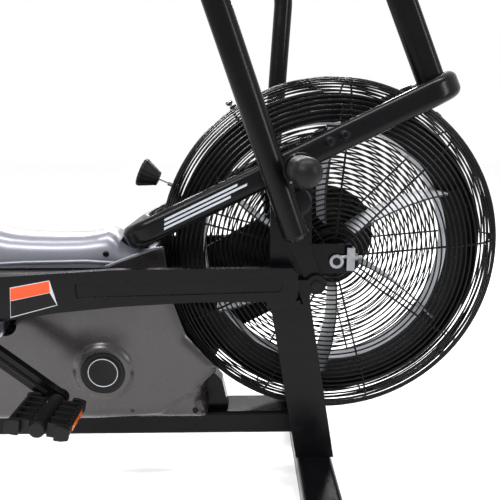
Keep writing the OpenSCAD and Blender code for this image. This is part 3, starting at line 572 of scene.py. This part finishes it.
# Outline of the side covers, the seam low on them, and soft creases as (start, end, height, width)
SHROUD = [(-318, -26), (-302, -80), (-280, -156), (-213, -224), (-222, -240), (-251, -269), (-258, -300),
          (-246, -346), (-700, -346), (-738, -312), (-744, -180), (-738, -26)]
PARTING = [(-760, -352), (-560, -350), (-420, -336), (-344, -327), (-302, -294), (-251, -269), (-225, -256),
           (-190, -240)]
CREASES = [((-547, -259), (-510, -243), 1.6, 7), ((-487, -284), (-525, -319), 1.6, 8),
           ((-700, -120), (-400, -60), 1.2, 16)]
GRID = 7  # spacing of the points that the covers' faces are drawn from
CRANK = joint_at("crank_spin")
JACK = joint_at("jackshaft_spin")


def off_line(p, a, b):
    """Distance from p to the line piece a-b, and the side of it that p is on."""
    a, b = Vector(a), Vector(b)
    t = max(0.0, min(1.0, (p - a).dot(b - a) / (b - a).length_squared))
    away = p - (a + (b - a) * t)
    cross = (b - a).x * away.y - (b - a).y * away.x
    return away.length, cross


def near_path(p, path):
    """The same, for the nearest piece of a path."""
    return min((off_line(p, a, b) for a, b in zip(path, path[1:])), key=lambda found: found[0])


def smooth(t):
    """An eased step from 0 to 1."""
    t = max(0.0, min(1.0, t))
    return t * t * (3 - 2 * t)


def shroud_depth(p, edge):
    """How far the shell's face stands from the middle plane, at a point and its distance from the outline."""
    depth = 57 + 25 * (1 - (1 - min(edge / 40, 1)) ** 2.6) ** 0.55 + 2 * smooth((edge - 40) / 70)
    gap, side = near_path(p, PARTING)
    if side < 0:
        depth -= 3.2 * smooth(gap / 3)
    depth -= 1.6 * math.exp(-((gap / 1.6) ** 2))
    for a, b, height, width in CREASES:
        gap, _ = off_line(p, a, b)
        depth -= height * math.exp(-((gap / width) ** 2))
    return depth


def shroud_shell(name, side, holes, stands_for):
    """One side cover: a face raised by shroud_depth, with walls back to the middle plane."""
    outline = rounded(SHROUD, 10, 4)
    dense = []
    for a, b in zip(outline, outline[1:] + outline[:1]):
        a, b = Vector(a), Vector(b)
        parts = max(1, round((b - a).length / GRID))
        dense += [a.lerp(b, k / parts) for k in range(parts)]
    points, edges = list(dense), [(i, (i + 1) % len(dense)) for i in range(len(dense))]
    loop = dense + dense[:1]
    for (x, z), r in holes:
        start = len(points)
        points += [Vector(q) for q in arc((x, z), r, 0, 345, 23)]
        edges += [(start + k, start + (k + 1) % 24) for k in range(24)]
    inner = []
    for shift in (-3.2, -1.4, 0, 1.4, 3.2):
        for a, b in zip(PARTING, PARTING[1:]):
            a, b = Vector(a), Vector(b)
            across = Vector((-(b - a).y, (b - a).x)).normalized() * shift
            parts = max(1, round((b - a).length / GRID))
            inner += [a.lerp(b, (k + 0.5) / parts) + across for k in range(parts)]
    for i in range(80):
        for j in range(50):
            p = Vector((-752 + GRID * (i + 0.5 * (j % 2)), -352 + 6.6 * j))
            if near_path(p, PARTING)[0] > 6:
                inner.append(p)
    for inset in (1.5, 4, 8, 13):
        for a, b in zip(loop, loop[1:]):
            across = Vector(((b - a).y, -(b - a).x)).normalized() * -inset
            inner.append((a + b) / 2 + across)

    def inside(p):
        odd = False
        for a, b in zip(loop, loop[1:]):
            if (a.y > p.y) != (b.y > p.y) and p.x < (b.x - a.x) * (p.y - a.y) / (b.y - a.y) + a.x:
                odd = not odd
        return odd

    def off_holes(p, gap):
        return all((p - Vector(c)).length > r + gap for c, r in holes)

    points += [p for p in inner if inside(p) and near_path(p, loop)[0] > 1.2 and off_holes(p, 2.5)]
    flat, _, tris, *_ = delaunay_2d_cdt(points, edges, [], 1, 1e-4)
    top = [Vector((p.x, side * shroud_depth(p, near_path(p, loop)[0]), p.y)) for p in flat]
    kept = [f for f in tris if off_holes(sum((flat[i] for i in f), Vector((0, 0))) / 3, 0)]
    obj = Shape().add(top, kept).object(name)
    # Side walls back to the middle plane, closed there
    work = bmesh.new()
    work.from_mesh(obj.data)
    rim = [e for e in work.edges if e.is_boundary]
    made = bmesh.ops.extrude_edge_only(work, edges=rim)["geom"]
    for v in made:
        if isinstance(v, bmesh.types.BMVert):
            v.co.y = side * 0.0004
    bmesh.ops.holes_fill(work, edges=[e for e in work.edges if e.is_boundary], sides=0)
    bmesh.ops.recalc_face_normals(work, faces=work.faces)
    work.to_mesh(obj.data)
    work.free()
    cut(obj, cage_room())
    return finished(obj, "shroud_gunmetal", "frame", stands_for, smooth=50)


shroud_shell("shroud_shell_right", -1, [(CRANK, 24)], ["right_shroud"])
shroud_shell("shroud_shell_left", 1, [(CRANK, 24), (JACK, 24)], ["left_shroud"])

# Low round boss over the jackshaft, with a plain ringed cap
at = (JACK[0], 0, JACK[1])
boss = [(76, 80), (82.8, 78), (83.3, 70), (83.6, 65), (84.2, 62), (85.2, 60.2), (87, 58), (88.8, 55.8),
        (90.5, 53.6), (91.5, 51.8), (91.9, 49.8), (91.95, 47), (91.7, 44.4), (89, 43), (89, 0)]
Shape().turned(at, -Y, boss, 96).piece("shroud_boss", "shroud_gunmetal", "frame", smooth=50)
ring = [(87, 42.6), (90.2, 42.2), (90.8, 41), (90.4, 36), (89.8, 34), (89.8, 0)]
Shape().turned(at, -Y, ring, 72).piece("boss_ring", "black_plastic", "frame", smooth=40)
cap = [(88, 33.6), (91.2, 33.2), (91.7, 32.2), (91.6, 31), (91.2, 30), (91.2, 0)]
Shape().turned(at, -Y, cap, 72).piece("boss_cap", "black_plastic", "frame", smooth=40)
line_ring = Shape().tube([(JACK[0] + 29 * math.cos(a), -91.2, JACK[1] + 29 * math.sin(a))
                          for a in (2 * math.pi * k / 72 for k in range(72))], 0.8, 8, ring=True)
finished(line_ring.object("boss_line"), "blade_grey", "frame", material=SILVER_PRINT)

for s, word in ((-1, "right"), (1, "left")):
    screws = Shape()
    for x, z in ((-272, -322), (-400, -318), (-560, -328), (-716, -300), (-722, -180), (-720, -60)):
        button_head(screws, (x, s * 78, z), (0, s, 0), 5.5, 4)
    screws.piece(f"shroud_screws_{word}", "black_bolt", "frame")
    # Side of the neck, with a raised rib that runs up to the yoke, painted light grey as a highlight along it
    outline = rounded([(-320, -40), (-326, 20), (-352, 15), (-438, -18), (-440, -40)], 5)
    fairing = Shape().plate(outline, s * 61, s * 74)
    fairing.piece(f"neck_fairing_{word}", "shroud_gunmetal", "frame", bevel=4, segments=3)
    # Light grey rib: a painted highlight along the side of the neck
    path = [(-440, s * 72, -18), (-400, s * 73, -3), (-352, s * 73, 15), (-329, s * 72, 19)]
    ridge_highlight = Shape().tube(path, [2, 3.4, 3.4, 2], 12)
    ridge_highlight.piece(f"neck_ridge_highlight_{word}", "cover_grey", "frame")

# Long cover over the spine: rounded over, with a rolled lip along each lower side
CREST = [(-334, 2), (-340, 5), (-350, 9), (-380, 10), (-402, 13), (-416, 24), (-426, 40), (-440, 47), (-462, 42),
         (-490, 38), (-540, 37), (-590, 38), (-630, 41), (-670, 50), (-700, 57), (-722, 58), (-734, 54), (-741, 44)]
sections = []
for x, top in CREST:
    loop = []
    half_width = 62 - 10 * smooth((-x - 715) / 27)
    for k in range(41):
        t = math.pi * k / 40
        y = -half_width * math.copysign(abs(math.cos(t)) ** 0.75, math.cos(t))
        loop.append(Vector((x, y, -24 + (top + 24) * math.sin(t) ** 0.62)))
    sections.append(loop)
cover = Shape().skin(sections).object("top_cover_shell")
cut(cover, cage_room())
finished(cover, "cover_grey", "frame", ["top_cover"], smooth=45)
path = [(-338, -62.5, -20), (-400, -63, -15), (-480, -63, -10), (-600, -63, -12), (-730, -63, -18)]
lips = Shape().tube(path, [1.5, 3, 3.4, 3.4, 2], 12)
lips.mirrored().piece("cover_lips", "cover_grey", "frame")
screws = Shape()
button_head(screws, (-441, -61.5, 4), -Y, 6, 3)
button_head(screws, (-690, -61.5, 30), -Y, 6, 3)
screws.mirrored().piece("cover_screws", "black_bolt", "frame")

# Guard over the second belt
guard = Shape().plate(arc((7.5, 13.7), 110, -52, 142, 60) + arc(JACK, 100, 128, 304, 60), 86.3, 102.7)
guard.piece("belt_guard_shell", "black_plastic", "frame", ["belt_guard"], bevel=5, segments=4)
raised = [(0, 46), (1.6, 45), (2.2, 40), (2.2, 20), (1, 19), (1, 12)]
Shape().turned((0, 102, 0), Y, raised, 64).piece("guard_boss", "black_plastic", "frame")
raised = [(0, 76), (1.4, 75), (2, 70), (2, 30), (1, 28), (1, 0)]
Shape().turned((JACK[0], 102, JACK[1]), Y, raised, 80).piece("guard_disc", "black_plastic", "frame")
screws = Shape()
for x, z in ((70, 70), (92, -30), (20, 105), (-60, 80), (JACK[0] - 80, JACK[1] + 30),
             (JACK[0] - 10, JACK[1] - 86), (-220, -20), (-240, -190)):
    button_head(screws, (x, 102.5, z), Y, 5, 3.5)
screws.piece("guard_screws", "zinc_steel", "frame")

# ------------------------------------------------------------------ frame details
# Stabilizer caps, pads, plugs in the base rail, wheels and feet
FRONT_X, REAR_X = -33, -972
WHEEL_X, WHEEL_Z = 26, -444
caps = Shape()
for x in (FRONT_X, REAR_X):
    outline = rounded([(x - 36, -449), (x + 36, -449), (x + 36, -398), (x - 36, -398)], 8, 5)
    caps.plate(outline, -324, -316)
    inner = rounded([(x - 27, -440), (x + 27, -440), (x + 27, -407), (x - 27, -407)], 5, 4)
    caps.plate(inner, -325.2, -323)
pads = Shape()
pads.turned((FRONT_X, -290, FLOOR), Z, [(0, 0), (0, 18.5), (1.5, 20), (14, 20), (20.9, 17), (20.9, 0)], 40)
caps.mirrored().piece("end_caps", "rubber_black", "frame", ["stabilizer_caps"], bevel=2.2)
pads.mirrored().piece("floor_pads", "rubber_black", "frame")
plugs = Shape()
for end, out in ((-1000, -1), (2, 1)):
    plugs.block((end + (0.05 if out > 0 else -2), -39, -397.5), (end + (2 if out > 0 else -0.05), 39, -349.5))
    plugs.block((end - (14 if out > 0 else 0.1), -36.5, -395), (end + (0.1 if out > 0 else 14), 36.5, -352))
plugs.piece("rail_plugs", "rubber_black", "frame", bevel=0.8)
for s, word in ((-1, "right"), (1, "left")):
    wheel = Shape()
    tyre = [(-12, 4.1), (-12, 10), (-8, 12), (-8, 15), (-12, 17), (-12, 19.5), (-9.5, 22), (9.5, 22), (12, 19.5),
            (12, 17), (8, 15), (8, 12), (12, 10), (12, 4.1)]
    wheel.skin([[Vector((WHEEL_X + r * math.cos(a), s * 250 + y, WHEEL_Z + r * math.sin(a)))
                 for a in (2 * math.pi * k / 48 for k in range(48))] for y, r in tyre], ring=True)
    wheel.piece(f"wheel_{word}", "rubber_black", f"{word}_wheel", [f"{word}_wheel"], smooth=40)
    profile = [(0, 0), (0, 22), (2, 24), (10, 23.4), (14, 20), (17, 12), (17, 5), (41, 5), (41, 0)]
    foot = Shape().turned((REAR_X, s * 270, FLOOR), Z, profile, 48)
    foot.piece(f"foot_{word}", "rubber_black", f"{word}_foot", [f"{word}_foot"], smooth=40)
    nut = hex_bolt(Shape(), (REAR_X, s * 270, FLOOR + 17.6), Z, 9, 3)
    nut.piece(f"foot_nut_{word}", "zinc_steel", f"{word}_foot")
axles = Shape()
for k in (-1, 1):
    button_head(axles, (WHEEL_X, -250 + k * 18.5, WHEEL_Z), (0, k, 0), 6)
axles.mirrored().piece("wheel_bolts", "zinc_steel", "frame")

# Yoke: button bolts, and plain stripes in place of lettering
slope = math.radians(25.7)
along, over = Vector((math.cos(slope), 0, math.sin(slope))), Vector((-math.sin(slope), 0, math.cos(slope)))
yoke_at = Vector((-145.5, 0, 154))
bolts = Shape()
for x, z in ((-21, 219), (5, 230)):
    washer(bolts, (x, -124, z), -Y, 10, 1.2)
    button_head(bolts, (x, -125, z), -Y, 8.4, 5)
bolts.mirrored().piece("yoke_bolts", "black_bolt", "frame", ["frame_bolts"])
stripe = Shape()
for first, last, low in ((-186, -40, 5), (-190, -24, -2), (-194, -60, -9)):
    corners = [yoke_at + along * a + over * b
               for a, b in ((first, low), (last, low), (last + 2, low + 4), (first + 2, low + 4))]
    stripe.plate([(c.x, c.z) for c in corners], -124.25, -123.9)
finished(stripe.mirrored().object("plain_stripes"), "blade_grey", "frame", material=SILVER_PRINT)

# Clips and bolts that hold the cage's halves together, one of them with a ball head
clips, heads = Shape(), Shape()
clip_outline = [(-11, -6), (-8, -7), (8, -7), (11, -6), (11, 6), (8, 7), (-8, 7), (-11, 6)]
for a in (4, 52, 124, 197, 240, 318):
    turn = Matrix.Rotation(math.radians(-a), 4, "Y")
    clip = Shape()
    clip.skin([[Vector((343.2 + dx, y, z)) for y, z in clip_outline] for dx in (-0.8, 1.2, 2.9)])
    clips.add(clip.moved(turn).verts, clip.faces)
    head = button_head(Shape(), (345.8, 0, 0), X, 4.6, 0.5)
    heads.add(head.moved(turn).verts, head.faces)
ball = Vector((math.cos(math.radians(124.3)), 0, math.sin(math.radians(124.3))))
profile = [(0, 0), (0, 5), (2, 5), (2.6, 3), (5, 3), (6, 5), (8, 7), (11, 7.6), (14, 6), (15.6, 3), (16, 0)]
heads.turned(ball * 345, ball, profile, 24)
clips.piece("cage_clips", "black_plastic", "frame", ["rim_clips"], bevel=0.6)
heads.piece("clip_heads", "zinc_steel", "frame")

# Plain label on the right side rail: an orange band over black in a thin frame
RAIL_FACE = -163.4
orange = coated("label_orange", "c53606", "cc3d0a", "d2501c", (0.4, 0.5), 0.000005)
border = Shape().plate([(-584, -33), (-514, -20), (-503, -66), (-588, -89)], -163.7, RAIL_FACE)
finished(border.object("label_frame"), "blade_grey", "frame", material=SILVER_PRINT)
field = Shape().plate([(-585, -58), (-515, -43), (-504.5, -65), (-587, -87)], -163.85, RAIL_FACE)
field.piece("label_field", "black_plastic", "frame")
band = Shape().plate([(-583, -34.5), (-515, -21.5), (-514.5, -42), (-585, -57)], -163.9, RAIL_FACE)
finished(band.object("label_band"), "black_plastic", "frame", material=orange)

# ------------------------------------------------------------------ arms, grips and pegs
PIVOT = joint_at("right_arm_swing")
ARM_Y = 225


def arm_matrix(s):
    """From an arm's own upright frame at its pivot to its place on the bike; s is -1 on the right."""
    lean = -19.4 if s < 0 else 3.9
    flip = Matrix.Diagonal((1, -s, 1, 1)) if s > 0 else Matrix.Identity(4)
    return flip @ Matrix.Translation((PIVOT[0], 0, PIVOT[1])) @ Matrix.Rotation(math.radians(lean), 4, "Y")


for s, word in ((-1, "right"), (1, "left")):
    body, place = f"{word}_arm", arm_matrix(s)
    bent = (Matrix.Translation((-151, -ARM_Y, 400)) @ Matrix.Rotation(math.radians(-34), 4, "Y")
            @ Matrix.Translation((130, 0, 40)))
    # Foam grip: fine ribs, a collar at its foot and a domed end
    profile = [(0, 20.8), (0, 26), (1.5, 27.4), (5, 27.4), (6.5, 26), (8, 24.6)]
    for k in range(22):
        t = 10 + k * 5.7
        profile += [(t, 24.2), (t + 0.8, 25), (t + 4.2, 25), (t + 5, 24.2)]
    profile += [(138, 25), (148, 25), (153, 24.4), (160, 22), (168, 16), (173, 8.5), (174.9, 0)]
    grip = Shape().turned((0, 0, 0), Z, profile, 40).moved(place @ bent)
    grip.piece(f"grip_{word}", "rubber_black", body, [f"{word}_grip"], smooth=60)
    # Foot peg: steel stub, flange with small bolts, and a sleeve with a domed end
    peg = Matrix.Translation((16.5, 0, 53))
    sleeve = [(252, 10), (252, 20), (253.5, 21.4), (257, 22)]
    for k in range(11):
        t = 260 + k * 6
        sleeve += [(t, 22), (t + 1, 21.4), (t + 2, 21.4), (t + 3, 22)]
    sleeve += [(328, 22), (334, 21.8), (340, 19.8), (345.5, 15.6), (349.5, 10), (351.6, 4.5), (351.9, 0)]
    rubber = Shape().turned((0, 0, 0), -Y, sleeve, 56).moved(place @ peg)
    rubber.piece(f"peg_sleeve_{word}", "rubber_black", body, [f"{word}_peg"], smooth=50)
    profile = [(211, 0), (211, 9), (246, 9), (246.5, 25), (247.5, 26), (251, 26), (252, 25), (252, 0)]
    stub = Shape().turned((0, 0, 0), -Y, profile, 48)
    stub.moved(place @ peg).piece(f"peg_flange_{word}", "frame_black", body, smooth=40)
    nuts = Shape()
    for k in range(3):
        a = math.radians(95 + 120 * k)
        hex_bolt(nuts, (23.6 * math.cos(a), -251.8, 23.6 * math.sin(a)), -Y, 2.2, 2, 18)
    nuts.moved(place @ peg).piece(f"peg_bolts_{word}", "zinc_steel", body)
    # Pivot cap on the arm's hub
    cover = Shape().turned((0, 0, 0), -Y, [(204, 0), (204, 23), (207, 24), (208.5, 22), (209.5, 16), (210, 0)], 48)
    cover.moved(place).piece(f"pivot_cap_{word}", "frame_black", body, smooth=40)
    # Weld bead round the foot of the tube
    bead = Shape().tube([(-21 + 20.6 * math.cos(a), -ARM_Y + 20.6 * math.sin(a), -45.5 + 0.5 * math.sin(9 * a))
                         for a in (2 * math.pi * k / 72 for k in range(72))], 1.7, 8, ring=True)
    bead.moved(place).piece(f"arm_bead_{word}", "frame_black", body)
    # Head of the lever's bolt, outside the link
    bolt = Shape()
    x, z = joint_at(f"{word}_link_turn")
    button_head(bolt, (x, s * 147.6, z), (0, s, 0), 8.6, 0.9)
    bolt.piece(f"link_bolt_{word}", "black_bolt", f"{word}_link")

# Child-safety lock: fluted knob on a steel stem
line = Vector((math.cos(math.radians(LOCK_TURN)), 0, math.sin(math.radians(LOCK_TURN))))
knob = [(372, 0), (372, 12), (373, 14.3), (378, 16), (385, 19.4), (393, 23), (400, 26), (403, 27.4), (404, 28.4),
        (409, 28.5), (410.6, 27.4), (411, 25.6), (411, 0)]
Shape().turned((0, 0, 0), line, knob, 96, 16, 0.022).piece(
    "lock_grip", "black_plastic", "safety_lock", ["lock_knob"], smooth=45)
profile = [(331.3, 0), (331.3, 4.4), (332.6, 4.4), (332.8, 2), (373, 2), (373, 0)]
stem = Shape().turned((0, 0, 0), line, profile, 24)
hex_bolt(stem, line * 370.6, line, 5.2, 1.4)
stem.piece("lock_stem", "zinc_steel", "safety_lock")

# ------------------------------------------------------------------ cranks and pedals
PEDAL_Y = 183  # inner face of the pedals
for s, word in ((-1, "right"), (1, "left")):
    x, z = joint_at(f"{word}_pedal_spin")
    frame_part, tread, metalwork, lamp = Shape(), Shape(), Shape(), Shape()
    for k in (-1, 1):
        outline = rounded([(k * 52, -10), (k * 52, 10), (k * 40, 13), (k * 28, 13), (k * 28, -13), (k * 40, -13)], 3)
        frame_part.plate(outline, -PEDAL_Y - 96, -PEDAL_Y - 90)
        frame_part.plate(outline, -PEDAL_Y - 8, -PEDAL_Y - 2)
        frame_part.block((min(k * 50, k * 42), -PEDAL_Y - 92, -9), (max(k * 50, k * 42), -PEDAL_Y - 6, 9))
        for j in range(5):
            y = -PEDAL_Y - 14 - j * 17.6
            tread.block((min(k * 14, k * 44), y - 4, -12.4), (max(k * 14, k * 44), y, 12.4))
        for j in range(9):
            y = -PEDAL_Y - 10 - j * 9.6
            for up in (-1, 1):
                tread.turned((k * 46, y, up * 8), (0, 0, up), [(0, 0), (0, 2.6), (4, 1.6), (4.9, 0)], 8)
        lamp.block((min(k * 50.6, k * 51.9), -PEDAL_Y - 76, -5), (max(k * 50.6, k * 51.9), -PEDAL_Y - 24, 5))
    barrel = [(0, 0), (0, 14), (3, 15), (10, 13), (84, 12), (88, 14), (95, 13), (96, 0)]
    frame_part.turned((0, -PEDAL_Y, 0), -Y, barrel, 32)
    spindle = [(0, 0), (0, 6.5), (14, 6.5), (14, 8.5), (16.5, 8.5), (16.5, 0)]
    metalwork.turned((0, -PEDAL_Y + 14, 0), -Y, spindle, 32)
    tilt = Matrix.Translation((x, 0, z)) @ Matrix.Rotation(math.radians(10), 4, "Y")
    if s > 0:
        tilt = Matrix.Diagonal((1, -1, 1, 1)) @ tilt
    body = f"{word}_pedal"
    frame_part.moved(tilt).piece(
        f"pedal_frame_{word}", "black_plastic", body, [f"{word}_pedal"], bevel=0.8, segments=2)
    tread.moved(tilt).piece(f"pedal_tread_{word}", "rubber_black", body, bevel=0.4, segments=2)
    metalwork.moved(tilt).piece(f"pedal_spindle_{word}", "zinc_steel", body)
    finished(lamp.moved(tilt).object(f"pedal_reflector_{word}"), "black_plastic", body, bevel=0.4, material=REFLECTOR)
caps = Shape().turned((CRANK[0], -176, CRANK[1]), -Y, [(0, 0), (0, 17), (2.5, 17), (4, 15.5), (4, 0)], 48)
hex_bolt(caps, (CRANK[0], -179.5, CRANK[1]), -Y, 9, 5)
caps.mirrored().piece("crank_caps", "black_plastic", "crank", smooth=40)
ribs = Shape()
for s, turn in ((-1, math.radians(CRANK_TURN)), (1, math.radians(CRANK_TURN + 180))):
    middle, out = Vector((CRANK[0], s * 180.2, CRANK[1])), Vector((math.cos(turn), 0, math.sin(turn)))
    a, b = middle + out * 28, middle + out * 146
    ribs.tube([a, a.lerp(b, 0.5), b], [3.4, 3.8, 3], 12)
ribs.piece("crank_ribs", "frame_black", "crank")

# ------------------------------------------------------------------ console
# From the console's own frame, with its face up, to its place on the mast
tilt = (Matrix.Translation((199, 0, 328)) @ Matrix.Rotation(math.radians(-24), 4, "Y")
        @ Matrix.Translation((0, 0, 352)) @ Matrix.Rotation(math.radians(-38), 4, "Y") @ Matrix.Rotation(math.radians(-90), 4, "Z"))


def console_part(outline, z0, z1):
    """A plate with an X-Y outline."""
    return Shape().skin([[Vector((x, y, z)) for x, y in outline] for z in (z0, z1)])


def box_outline(x0, y0, x1, y1, r):
    return rounded([(x0, y0), (x1, y0), (x1, y1), (x0, y1)], r, 6)


KEYS = ((-52, "start"), (0, "mode"), (52, "stop"))
housing = console_part(box_outline(-95, -51, 95, 99, 22), 0, 34).moved(tilt).object("console_shell")
mod = housing.modifiers.new("round", "BEVEL")
mod.width, mod.segments, mod.limit_method, mod.angle_limit = 0.006, 4, "ANGLE", math.radians(60)
applied(housing)
window = console_part(box_outline(-75.2, -4.2, 75.2, 80.2, 6), 31.2, 40).moved(tilt).object("window_cut")
well = [(0, 0), (0, 10.4), (12, 10.4), (12, 0)]
wells = [Shape().turned((x, -26, 28), Z, well, 40).moved(tilt).object("well") for x, _ in KEYS]
cut(housing, window, *wells)
finished(housing, "black_plastic", "frame", ["console_housing"], smooth=40)
bezel = console_part(box_outline(-74.8, -3.8, 74.8, 79.8, 6), 31.2, 33.6)
bezel.moved(tilt).piece("console_window", "screen", "frame", ["console_screen"], bevel=0.5)
marks = Shape()
for k in range(3):
    x0 = -62 + k * 43
    for row in (0, 1):
        field = console_part(box_outline(x0, 8 + row * 34, x0 + 38, 36 + row * 34, 2), 33.5, 33.8)
        marks.add(field.verts, field.faces)
marks.moved(tilt).piece("console_fields", "screen", "frame", bevel=0.2)
for x, word in KEYS:
    profile = [(0, 0), (0, 9.9), (4.6, 9.9), (5.6, 9.2), (6, 7.8), (5.5, 5), (5.4, 0)]
    key = Shape().turned((x, -26, 30.5), Z, profile, 40)
    key.moved(tilt).piece(f"key_{word}", "button_grey", f"{word}_button", [f"{word}_button"], smooth=50)
rim = Shape().tube([(x, y, 34) for x, y in box_outline(-90, -46, 90, 94, 18)], 1.1, 8, ring=True)
rim.moved(tilt).piece("console_rim", "button_grey", "frame")

# ------------------------------------------------------------------ saddle and its adjusters
KNOB_DROP = 7  # the slider knob's axis below the slider's middle
seat_x, knob_z = joint_at("slider_knob_turn")
seat_z = knob_z + KNOB_DROP
# Cross-sections of the pad from the back to the nose: place, half width and height
STATIONS = [(-132, 34, 20), (-128, 66, 32), (-112, 96, 44), (-88, 110, 52), (-62, 111, 54), (-30, 101, 51),
            (5, 79, 47), (40, 55, 43), (75, 40, 40), (108, 31, 37), (128, 25, 33), (140, 13, 24)]


def saddle_loops(shrink):
    """The pad's cross-sections, drawn in by shrink to leave room for its padding."""
    loops = []
    for x, wide, h in STATIONS:
        top = seat_z + 54 + h * 0.64 + 14 * smooth((-x - 20) / 80) - 6 * smooth((x - 20) / 100)
        low = seat_z + 40 + 5 * smooth((x - 40) / 90)
        mid, up = (top + low) / 2, (top - low) / 2 - shrink
        loop = []
        for k in range(32):
            a = 2 * math.pi * k / 32
            across, rise = math.cos(a), math.sin(a)
            y = (wide - shrink) * abs(across) ** 0.62 * (1 if across > 0 else -1)
            z = mid + up * abs(rise) ** (0.8 if rise > 0 else 0.5) * (1 if rise > 0 else -1)
            if rise > 0:
                z -= 8 * math.exp(-((y / 14) ** 2)) * smooth((x + 118) / 30) * smooth((112 - x) / 60)
            loop.append(Vector((seat_x + x, y, z)))
        loops.append(loop)
    return loops


def inflate(obj, cap, pressure=4.0, voxel=0.005, steps=20):
    """Puffs a closed form with cloth, keeps each point within cap of its place, and returns it."""
    mod = obj.modifiers.new("even", "REMESH")
    mod.mode, mod.voxel_size = "VOXEL", voxel
    applied(obj)
    start = [v.co.copy() for v in obj.data.vertices]
    mod = obj.modifiers.new("cloth", "CLOTH")
    cloth = mod.settings
    cloth.quality = 6
    cloth.mass = 0.3
    cloth.tension_stiffness = cloth.compression_stiffness = 12
    cloth.shear_stiffness = 6
    cloth.bending_stiffness = 1.2
    cloth.use_pressure = True
    cloth.uniform_pressure_force = pressure
    cloth.effector_weights.gravity = 0
    mod.point_cache.frame_start, mod.point_cache.frame_end = 1, steps
    scene = bpy.context.scene
    for step in range(1, steps + 1):
        scene.frame_set(step)
    bpy.context.view_layer.update()
    mesh = bpy.data.meshes.new_from_object(obj.evaluated_get(bpy.context.evaluated_depsgraph_get()))
    obj.modifiers.clear()
    obj.data = mesh
    for v, home in zip(mesh.vertices, start):
        move = v.co - home
        if move.length > cap:
            v.co = home + move.normalized() * cap
    scene.frame_set(1)
    return obj


pad = Shape().skin(saddle_loops(5)).object("saddle_pad")
inflate(pad, 0.007)
pad.modifiers.new("smooth", "SUBSURF").levels = 1
pad.modifiers["smooth"].render_levels = 1
finished(pad, "saddle_vinyl", "seat_slider", ["saddle"], smooth=70)
# Piping round the lower edge, and a hard shell under the pad
plan = [(seat_x + x, wide) for x, wide, _ in STATIONS]
edge = [Vector((x, side * (wide - 1.5) * 0.985, seat_z + 47))
        for side, half in ((1, plan), (-1, plan[::-1])) for x, wide in half]
piping = Shape().tube(edge, 2.6, 10, ring=True)
piping.piece("saddle_piping", "saddle_vinyl", "seat_slider", smooth=60)
outline = [(x, side * (wide - 8)) for side, half in ((1, plan), (-1, plan[::-1])) for x, wide in half]
lower = [(seat_x + (x - seat_x) * 0.9, y * 0.82) for x, y in outline]
levels = ((lower, seat_z + 36.3), (outline, seat_z + 45))
shell = Shape().skin([[Vector((x, y, z)) for x, y in loop] for loop, z in levels])
shell.piece("saddle_base", "black_plastic", "seat_slider", bevel=1.5)
# Slider knob, and the height pin's grip and collar
profile = [(0, 0), (0, 9), (3, 13), (4, 19), (6, 21), (18, 21), (20.5, 19), (22, 15), (22, 0)]
knob = Shape().turned((seat_x, -44, knob_z), -Y, profile, 96, 8, 0.06)
knob.turned((seat_x, -22.4, knob_z), -Y, [(0, 0), (0, 5), (24, 5), (24, 0)], 24)
knob.piece("slider_grip", "black_plastic", "slider_knob", ["slider_knob"], smooth=45)
lean = (Matrix.Translation((-775, 0, -349)) @ Matrix.Rotation(math.radians(-9), 4, "Y")
        @ Matrix.Translation((0, 0, 455)))
profile = [(20, 0), (20, 4.6), (21, 5), (46, 5), (46, 11), (48, 12.5), (56, 14), (62, 17), (65, 17), (68, 14.5),
           (68, 0)]
pin = Shape().turned((0, 0, 0), X, profile, 64, 8, 0.03)
pin.moved(lean).piece("pin_grip", "black_plastic", "seat_pin", ["seat_pin"], smooth=45)
profile = [(30, 13.2), (30, 15), (32, 16), (40, 16), (42, 14.6), (43.6, 14), (43.6, 5.4)]
collar = Shape().turned((0, 0, 0), X, profile, 48)
collar.moved(lean).piece("pin_collar", "frame_black", "frame", smooth=45)
